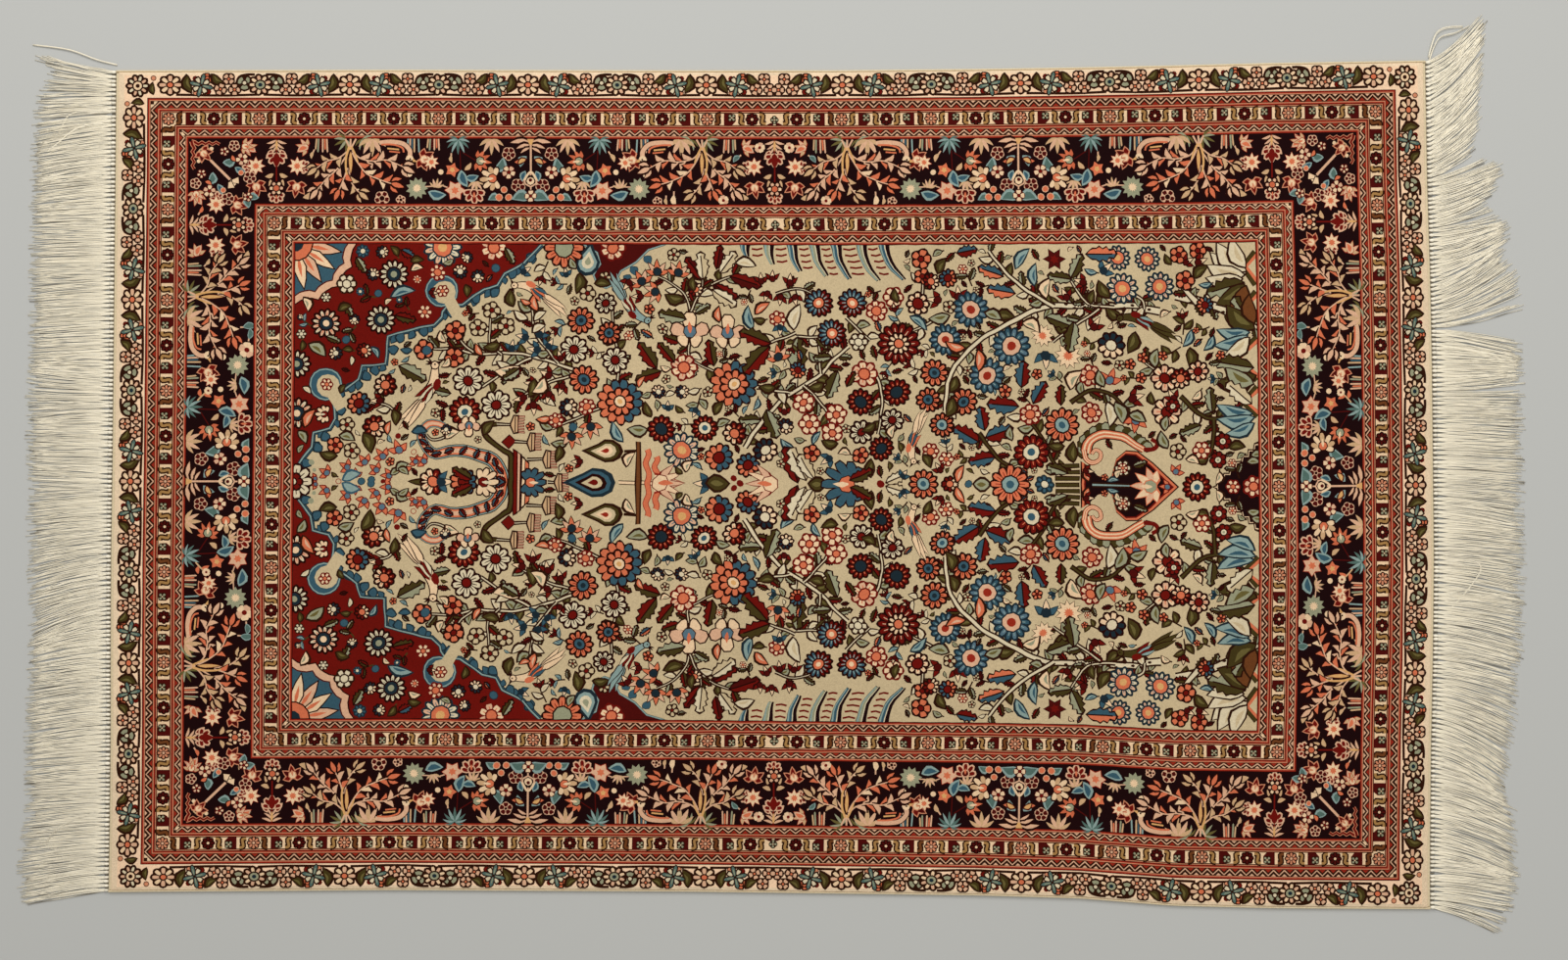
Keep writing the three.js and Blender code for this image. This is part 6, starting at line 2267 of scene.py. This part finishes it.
@dataclass
class PileZone:
    """One piece of the pile: a pattern laid as drawn or in mirror image, and closed all round."""

    name: str
    pattern: Pattern
    mirror: tuple[int, int]
    cloth: ClothMap
    material: bpy.types.Material
    foot: float = 0.9  # millimetres from the floor to the underside of the knots

    def build(self) -> bpy.types.Object:
        """Build the zone as one closed mesh with a colour for every face."""
        places, triangles, colours = self.pattern
        if self.mirror[0] * self.mirror[1] < 0:
            triangles = triangles[:, ::-1]
        return self.close(places * np.array(self.mirror), triangles, colours)

    def close(self, knots: np.ndarray, triangles: np.ndarray, colours: np.ndarray) -> bpy.types.Object:
        """Add the zone's sides and underside.

        Args:
            knots: the top's points on the chart.
            triangles: the top's faces.
            colours: the colour of each.

        Returns:
            The finished piece.
        """
        flat = self.cloth.place(knots)
        top = np.column_stack((flat, self.height(knots)))
        edges = np.concatenate([triangles[:, [0, 1]], triangles[:, [1, 2]], triangles[:, [2, 0]]])
        known = {(a, b) for a, b in edges.tolist()}
        owner = dict(zip(map(tuple, edges.tolist()), list(range(len(triangles))) * 3))
        rim = [(a, b) for a, b in known if (b, a) not in known]
        following = dict(rim)
        start = rim[0][0]
        loop = [start]
        while following[loop[-1]] != start:
            loop.append(following[loop[-1]])
        low = {v: len(top) + i for i, v in enumerate(loop)}
        bottom = np.column_stack((flat[loop], np.full(len(loop), self.foot)))
        walls = [(b, a, low[a], low[b]) for a, b in zip(loop, loop[1:] + loop[:1])]
        faces = triangles.tolist() + walls + [[low[v] for v in reversed(loop)]]
        side_colours = [colours[owner[(a, b)]] for a, b in zip(loop, loop[1:] + loop[:1])]
        piece = new_object(self.name, np.concatenate((top, bottom)), faces, self.material)
        shades = np.concatenate((colours, side_colours, [linear(Silk.EDGE_CREAM.value)]))
        self.dye(piece.data, shades)
        if len(loop) != len(rim):
            LOG.warning("%s: its edge is not one loop (%d of %d)", self.name, len(loop), len(rim))
        LOG.info("%s: %d faces", self.name, len(faces))
        return piece

    def height(self, knots: np.ndarray) -> np.ndarray:
        """Give the pile's height, which rounds off at the rug's edges."""
        inward = np.minimum(
            CHART_HALF_LENGTH - np.abs(knots[:, 0]),
            CHART_HALF_WIDTH - SIDE_MARGIN - np.abs(knots[:, 1]),
        ) * KNOT
        share = np.clip(1 - inward / ROUNDING, 0, 1)
        return PILE_TOP - ROUNDING * (1 - np.sqrt(1 - share ** 2))

    def dye(self, mesh: bpy.types.Mesh, shades: np.ndarray) -> None:
        """Store each face's colour on its corners.

        Args:
            mesh: the zone's mesh.
            shades: one colour for each face.
        """
        attribute = mesh.color_attributes.new(name=SilkPile.attribute, type="FLOAT_COLOR", domain="CORNER")
        counts = np.empty(len(mesh.polygons), dtype=np.int32)
        mesh.polygons.foreach_get("loop_total", counts)
        attribute.data.foreach_set("color", np.repeat(shades, counts, axis=0).astype(np.float32).ravel())


@dataclass
class Foundation:
    """The woven ground under the pile, with its overcast sides and flatwoven ends: one closed sheet."""

    cloth: ClothMap
    material: bpy.types.Material
    ground_top: float = 0.95
    edge_lines: tuple[float, ...] = (0.0, 0.12, 0.3, 0.5, 0.7, 0.88, 1.0)
    stretches: tuple[int, int] = (90, 56)  # along and across the rug

    def lines(self, half: float, margin: float, count: int) -> np.ndarray:
        """Place the sheet's lines along one direction.

        Args:
            half: half of the sheet in knots.
            margin: the width of its edge in knots.
            count: how many stretches lie between its two edges.

        Returns:
            The lines' places.
        """
        edge = half - margin * np.array(self.edge_lines)
        inner = np.linspace(-(half - margin * 1.2), half - margin * 1.2, count)
        return np.concatenate((-edge, inner, edge[::-1]))

    def build(self) -> bpy.types.Object:
        """Build the sheet."""
        along = self.lines(CHART_HALF_LENGTH + END_MARGIN, END_MARGIN, self.stretches[0])
        across = self.lines(CHART_HALF_WIDTH, SIDE_MARGIN, self.stretches[1])
        knots = np.stack(np.meshgrid(along, across, indexing="ij"), axis=-1)
        flat = self.cloth.place(knots).reshape(-1, 2)
        from_side = (CHART_HALF_WIDTH - np.abs(knots[..., 1].ravel())) * KNOT
        from_end = (CHART_HALF_LENGTH + END_MARGIN - np.abs(knots[..., 0].ravel())) * KNOT
        half = BINDING_WIDTH / 2
        cord = BINDING_TOP * np.sqrt(np.clip(1 - ((from_side - half) / half) ** 2, 0.02, 1))
        tape = np.clip(EDGE_TOP + (FLATWOVEN_TOP - EDGE_TOP) * from_end, EDGE_TOP, FLATWOVEN_TOP)
        height = np.where(from_end <= FLATWOVEN_WIDTH + 0.01, tape, self.ground_top)
        height = np.where(from_side <= BINDING_WIDTH, np.maximum(cord, EDGE_TOP * 0.4), height)
        rows, columns = len(along), len(across)
        count = rows * columns
        index = np.arange(count).reshape(rows, columns)
        quads = np.stack((index[:-1, :-1], index[1:, :-1], index[1:, 1:], index[:-1, 1:]), axis=-1)
        quads = quads.reshape(-1, 4)
        rim = np.concatenate((index[:-1, 0], index[-1, :-1], index[:0:-1, -1], index[0, :0:-1]))
        walls = np.stack((np.roll(rim, -1), rim, rim + count, np.roll(rim, -1) + count), axis=-1)
        faces = np.concatenate((quads, quads[:, ::-1] + count, walls))
        points = np.concatenate((np.column_stack((flat, height)), np.column_stack((flat, 0 * height))))
        piece = new_object("woven_foundation", points, faces.tolist(), self.material)
        LOG.info("%s: %d faces", piece.name, len(faces))
        return piece


@dataclass(frozen=True)
class FringeRow:
    """How the warp ends lie at one place along an end of the rug."""

    place: float  # 0 at the far corner, 1 at the near one
    reach: float  # millimetres from the cloth to the tips
    sweep: float  # millimetres that the tips lie nearer than the roots


LEFT_FRINGE = (
    FringeRow(0.0, 82, -16),
    FringeRow(0.012, 64, -8),
    FringeRow(0.03, 78, 2),
    FringeRow(0.07, 81, 11),
    FringeRow(0.13, 82, 4),
    FringeRow(0.3, 82, 2),
    FringeRow(0.42, 84, -2),
    FringeRow(0.5, 82, 0),
    FringeRow(0.53, 82, 3),
    FringeRow(0.6, 80, 19),
    FringeRow(0.66, 78, 24),
    FringeRow(0.72, 80, 11),
    FringeRow(0.8, 83, 10),
    FringeRow(0.9, 82, 2),
    FringeRow(0.95, 88, 12),
    FringeRow(1.0, 86, 10),
)
RIGHT_FRINGE = (
    FringeRow(0.0, 60, -43),
    FringeRow(0.045, 55, -45),
    FringeRow(0.09, 54, -43),
    FringeRow(0.118, 52, -34),
    FringeRow(0.139, 42, -20),
    FringeRow(0.144, 74, -20),
    FringeRow(0.165, 72, -20),
    FringeRow(0.193, 58, -17),
    FringeRow(0.202, 76, -10),
    FringeRow(0.235, 78, -26),
    FringeRow(0.273, 68, -34),
    FringeRow(0.29, 84, -36),
    FringeRow(0.312, 88, -28),
    FringeRow(0.32, 88, 16),
    FringeRow(0.385, 88, -8),
    FringeRow(0.395, 88, 2),
    FringeRow(0.47, 88, 0),
    FringeRow(0.54, 88, 8),
    FringeRow(0.62, 88, 13),
    FringeRow(0.67, 88, 19),
    FringeRow(0.7, 82, 15),
    FringeRow(0.75, 82, 30),
    FringeRow(0.8, 74, 31),
    FringeRow(0.82, 70, 34),
    FringeRow(0.85, 82, 26),
    FringeRow(0.92, 84, 26),
    FringeRow(0.965, 87, 8),
    FringeRow(0.985, 80, 10),
    FringeRow(1.0, 68, 26),
)
# Threads that have come away from the rest: their points in millimetres from the rug's middle.
LEFT_STRAYS = (
    ((-652, 408), (-672, 413), (-700, 423), (-736, 428)),
    ((-652, 362), (-678, 362), (-694, 361), (-703, 356), (-710, 342)),
    ((-652, 352), (-690, 346), (-712, 330), (-722, 322)),
    ((-652, -330), (-690, -340), (-712, -352), (-722, -366), (-708, -372)),
)
RIGHT_STRAYS = (
    ((650, 416), (653, 428), (658, 440), (668, 445), (684, 446)),
    ((650, 411), (655, 426), (662, 436), (676, 440), (690, 447)),
    ((655, -86), (690, -84), (702, -92), (690, -112), (671, -133)),
)


@dataclass
class Fringe:
    """The warp ends along one end of the rug, knotted in bundles and spread over the floor."""

    name: str
    side: int
    rows: tuple[FringeRow, ...]
    strays: tuple[Outline, ...]
    cloth: ClothMap
    material: bpy.types.Material
    seed: int
    bundles: int = 187
    threads: int = 8  # in each bundle
    steps: int = 11  # stretches along each thread
    radius: float = 0.42
    stray_threads: int = 3  # along each stray path
    knot: tuple[float, float, float] = (2.5, 1.6, 1.5)  # a knot's half length, width and height
    points: list[np.ndarray] = field(default_factory=list)
    faces: list[np.ndarray] = field(default_factory=list)
    shades: list[np.ndarray] = field(default_factory=list)
    count: int = 0
    # Each vertex's lightness: the threads' own tone, with painted shade in the low threads and the knot
    # gaps.
    SHADE = "thread_tone_and_painted_shade"

    def build(self) -> bpy.types.Object:
        """Build the knots and the threads as one piece."""
        rng = np.random.default_rng(self.seed)
        share = (np.arange(self.bundles) + 0.5) / self.bundles
        share = np.clip(share + rng.normal(0, 0.0004, self.bundles), 0.001, 0.999)
        roots = self.cloth.on_cloth(np.full(self.bundles, float(self.side)), 1 - 2 * share)
        places = [row.place for row in self.rows]
        reach = np.interp(share, places, [row.reach for row in self.rows])
        sweep = np.interp(share, places, [row.sweep for row in self.rows])
        clump = smooth_noise(rng, self.bundles, 7, 3.0) + smooth_noise(rng, self.bundles, 3, 1.6)
        for i in range(self.bundles):
            self.knotted(roots[i], rng)
            if i:
                self.gap((roots[i - 1] + roots[i]) / 2, rng)
            for k in range(self.threads):
                self.thread(roots[i], reach[i], sweep[i] - clump[i], k, rng)
        for path in self.strays:
            for _ in range(self.stray_threads):
                self.stray(path, rng)
        faces = np.concatenate(self.faces).tolist()
        piece = new_object(self.name, np.concatenate(self.points), faces, self.material)
        # the threads' tone, and painted shade in the low threads and knot gaps
        tone_and_painted_shade = piece.data.attributes.new(name=self.SHADE, type="FLOAT", domain="POINT")
        tone_and_painted_shade.data.foreach_set("value", np.concatenate(self.shades).astype(np.float32))
        piece.data.shade_smooth()
        LOG.info("%s: %d faces", self.name, len(piece.data.polygons))
        return piece

    def add(self, points: np.ndarray, faces: np.ndarray, shade: float | np.ndarray) -> None:
        """Keep one thread's or knot's mesh.

        Args:
            points: its vertices in millimetres.
            faces: its faces.
            shade: how light it is, from 0 to 1, as a whole or for each vertex.
        """
        self.points.append(points)
        self.faces.append(faces + self.count)
        self.shades.append(shade * np.ones(len(points)))
        self.count += len(points)

    def knotted(self, root: np.ndarray, rng: np.random.Generator) -> None:
        """Tie the knot that holds a bundle against the cloth.

        Args:
            root: where the bundle leaves the cloth.
            rng: the fringe's own chance.
        """
        turns, rings = 8, 5
        a = np.linspace(0, 2 * np.pi, turns, endpoint=False)
        b = np.linspace(-1.25, 1.25, rings)
        size = np.array(self.knot) * rng.uniform(0.9, 1.1)
        x = root[0] + self.side * (0.1 + size[0]) + size[0] * np.sin(b)[:, None] * np.ones(turns)
        y = root[1] + size[1] * np.cos(b)[:, None] * np.cos(a)
        z = size[2] + 0.02 + size[2] * np.cos(b)[:, None] * np.sin(a)
        points = np.stack((x, y, z), axis=-1).reshape(-1, 3)
        self.add(points, tube_faces(rings, turns), rng.uniform(0.62, 0.85))

    def gap(self, root: np.ndarray, rng: np.random.Generator) -> None:
        """Lay short threads deep between two knots, dark as painted shade, which read as a dark wedge.

        Args:
            root: the point of the cloth's edge midway between the knots.
            rng: the fringe's own chance.
        """
        end = rng.uniform(3.4, 5.0)
        falls = ((0.3, 1.5), (end * 0.55, 1.3), (end, 0.9))
        # shade 0: the whole colour of these threads is painted shade
        self.tube(np.array([(root[0] + self.side * x, root[1], z) for x, z in falls]), 0.0, 1.6)

    def thread(self, root: np.ndarray, reach: float, sweep: float, k: int,
               rng: np.random.Generator) -> None:
        """Lay one thread of a bundle.

        Args:
            root: where the bundle leaves the cloth.
            reach: how far its tips lie from the cloth.
            sweep: how much nearer they lie than the root.
            k: the thread's number in its bundle.
            rng: the fringe's own chance.
        """
        t = np.linspace(0, 1, self.steps + 1)
        beside = (k + 0.5) / self.threads - 0.5
        length = reach * min(rng.uniform(0.88, 1.06), rng.uniform(0.93, 1.14)) - 0.4
        x = root[0] + self.side * (0.4 + length * t)
        swing = 2 * np.pi * (t * rng.uniform(0.7, 1.6) + rng.random())
        wave = rng.normal(0, 0.6) * np.sin(swing) * t ** 0.6
        stray = rng.normal(0, 1.1) * t ** 2
        y = root[1] - sweep * t ** 1.5 + beside * (2.2 + 3.0 * np.clip(t * 8 - 0.4, 0, 1)) + wave + stray
        z = 0.45 + 0.8 * np.clip(1 - 6 * t, 0, 1) + rng.uniform(0.3, 1.2) * np.sin(np.pi * t) ** 0.5
        shade = rng.uniform(0.75, 1.0)
        if k == 0:
            # A bundle's outermost thread lies lowest, its colour darkened here and there as painted shade
            # from the others above it.
            z = np.full(len(t), 0.42)
            shade = np.clip(0.4 + 0.5 * np.sin(swing * 1.7), 0.05, 0.7) * np.ones(len(t))
        self.tube(np.stack((x, y, z), axis=-1), shade, 1.15 if k == 0 else 1.0)

    def stray(self, path: Outline, rng: np.random.Generator) -> None:
        """Lay one thread that has come away from the rest, along its own path."""
        points = np.array(bow(list(path), 5)) + rng.normal(0, 0.6, 2)
        height = 0.5 + 1.0 * np.sin(np.linspace(0, np.pi, len(points)))
        self.tube(np.column_stack((points, height)), rng.uniform(0.5, 0.95))

    def tube(self, path: np.ndarray, shade: float | np.ndarray, thick: float = 1.0) -> None:
        """Make a thread of three sides, thinner towards its tip.

        Args:
            path: its points in millimetres.
            shade: how light it is, as a whole or at each point.
            thick: its thickness as a share of the usual one.
        """
        ahead = np.gradient(path[:, :2], axis=0)
        ahead /= np.linalg.norm(ahead, axis=1)[:, None]
        out = np.column_stack((-ahead[:, 1], ahead[:, 0], np.zeros(len(path))))
        size = thick * self.radius * np.linspace(1.05, 0.75, len(path))[:, None]
        low = np.array((0.0, 0.0, -0.6)) * size
        high = np.array((0.0, 0.0, 1.0)) * size
        points = np.stack((path + out * size + low, path + high, path - out * size + low), axis=1)
        shades = np.repeat(shade * np.ones(len(path)), 3)
        self.add(points.reshape(-1, 3), tube_faces(len(path), 3), shades)


def smooth_noise(rng: np.random.Generator, count: int, width: int, size: float) -> np.ndarray:
    """Give chance values that change smoothly from one to the next.

    Args:
        rng: where the chance comes from.
        count: how many values.
        width: over how many of them the value changes.
        size: their spread.

    Returns:
        The values.
    """
    knots = rng.normal(0, size, count // width + 3)
    return np.interp(np.arange(count) / width, np.arange(len(knots)), knots)


def tube_faces(rings: int, turns: int) -> np.ndarray:
    """Give a closed tube's triangles, ring after ring of the same count of vertices."""
    index = np.arange(rings * turns).reshape(rings, turns)
    after = np.roll(index, -1, axis=1)
    first = np.stack((index[:-1], after[:-1], after[1:]), axis=-1).reshape(-1, 3)
    second = np.stack((index[:-1], after[1:], index[1:]), axis=-1).reshape(-1, 3)
    start = [(index[0, 0], index[0, i + 1], index[0, i]) for i in range(1, turns - 1)]
    end = [(index[-1, 0], index[-1, i], index[-1, i + 1]) for i in range(1, turns - 1)]
    return np.concatenate((first, second, start, end))


@dataclass(frozen=True)
class Lamp:
    """One large soft lamp that shines towards the rug's middle."""

    name: str
    place: tuple[float, float, float]  # metres
    power: float
    size: float = 1.6

    def hang(self) -> None:
        """Hang the lamp."""
        data = bpy.data.lights.new(self.name, "AREA")
        data.size = self.size
        data.energy = self.power
        lamp = bpy.data.objects.new(self.name, data)
        lamp.location = self.place
        lamp.rotation_euler = (-Vector(self.place)).to_track_quat("-Z", "Y").to_euler()
        bpy.context.scene.collection.objects.link(lamp)


class Studio:
    """The pale floor, the soft light and the camera straight above the rug."""

    FRAME_WIDTH = 1600 * KNOT  # millimetres of floor across the picture
    MIDDLE = (9.9, -4.1)  # millimetres from the rug's middle to the picture's
    LENS = 50.0
    SENSOR = 36.0
    FLOOR_SIZE = 60.0  # metres
    FLOOR_DROP = 0.0004  # metres that the floor lies under the rug
    ROOM_LIGHT = 0.61
    LAMPS = (Lamp("key_lamp", (-0.4, 2.2, 2.2), 55.0), Lamp("fill_lamp", (1.8, 0.4, 2.6), 16.0))

    def build(self) -> None:
        """Build the whole studio."""
        bpy.ops.object.select_all(action="DESELECT")
        bpy.ops.mesh.primitive_plane_add(size=self.FLOOR_SIZE, location=(0, 0, -self.FLOOR_DROP))
        floor = bpy.context.object
        floor.name = "studio_floor"
        floor.data.materials.append(self.floor_material())
        self.camera()
        self.lights()

    def floor_material(self) -> bpy.types.Material:
        """Make the floor's matt pale grey."""
        material = new_material("studio_floor")
        shader = material.node_tree.nodes["Principled BSDF"]
        shader.inputs["Base Color"].default_value = linear("#B7B8B5")
        shader.inputs["Roughness"].default_value = 0.9
        return material

    def camera(self) -> None:
        """Stand the camera above the rug, looking straight down."""
        data = bpy.data.cameras.new("studio_camera")
        data.lens = self.LENS
        data.sensor_width = self.SENSOR
        height = self.FRAME_WIDTH * self.LENS / self.SENSOR
        camera = bpy.data.objects.new("studio_camera", data)
        camera.location = (self.MIDDLE[0] * MM, self.MIDDLE[1] * MM, (height + PILE_TOP) * MM)
        bpy.context.scene.collection.objects.link(camera)
        bpy.context.scene.camera = camera

    def lights(self) -> None:
        """Hang the lamps and fill the room with even light."""
        world = bpy.data.worlds.new("studio_room")
        world.use_nodes = True
        room = world.node_tree.nodes["Background"].inputs
        room["Color"].default_value = linear("#F4F1EC")
        room["Strength"].default_value = self.ROOM_LIGHT
        bpy.context.scene.world = world
        bpy.context.scene.view_settings.view_transform = "Standard"
        for lamp in self.LAMPS:
            lamp.hang()


def main() -> None:
    """Build the rug and its studio, piece by piece."""
    logging.basicConfig(level=logging.INFO)
    Studio().build()
    cloth = ClothMap()
    pile = SilkPile().build()
    borders = BorderChart.draw()
    ground = FieldChart.draw()
    LOG.info("charts: %d and %d outlines", len(borders.outlines), len(ground.outlines))
    border, middle = borders.cut(), ground.cut()
    zones = (
        PileZone("border_pile_far_right", border, (1, 1), cloth, pile),
        PileZone("border_pile_near_right", border, (1, -1), cloth, pile),
        PileZone("border_pile_far_left", border, (-1, 1), cloth, pile),
        PileZone("border_pile_near_left", border, (-1, -1), cloth, pile),
        PileZone("field_pile_far", middle, (1, 1), cloth, pile),
        PileZone("field_pile_near", middle, (1, -1), cloth, pile),
    )
    pieces = [zone.build() for zone in zones]
    woven = Foundation(cloth, PlainSilk("undyed_silk_web", "#E6D7B6", "#C4B08A", 0.7).build()).build()
    for piece in pieces + [woven]:
        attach(piece, "root")
        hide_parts("rug_cloth")
    # The warp's dark colour is also the painted shade of its low threads and knot gaps.
    threads = PlainSilk("undyed_silk_warp", "#FFF7E2", "#564A32", 0.8, attribute=Fringe.SHADE).build()
    ends = (
        Fringe("fringe_threads_left", -1, LEFT_FRINGE, LEFT_STRAYS, cloth, threads, 11),
        Fringe("fringe_threads_right", 1, RIGHT_FRINGE, RIGHT_STRAYS, cloth, threads, 12),
    )
    for end, node in zip(ends, ("fringe_left", "fringe_right")):
        piece = end.build()
        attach(piece, "root")
        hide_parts(node)


if __name__ == "__main__":
    main()
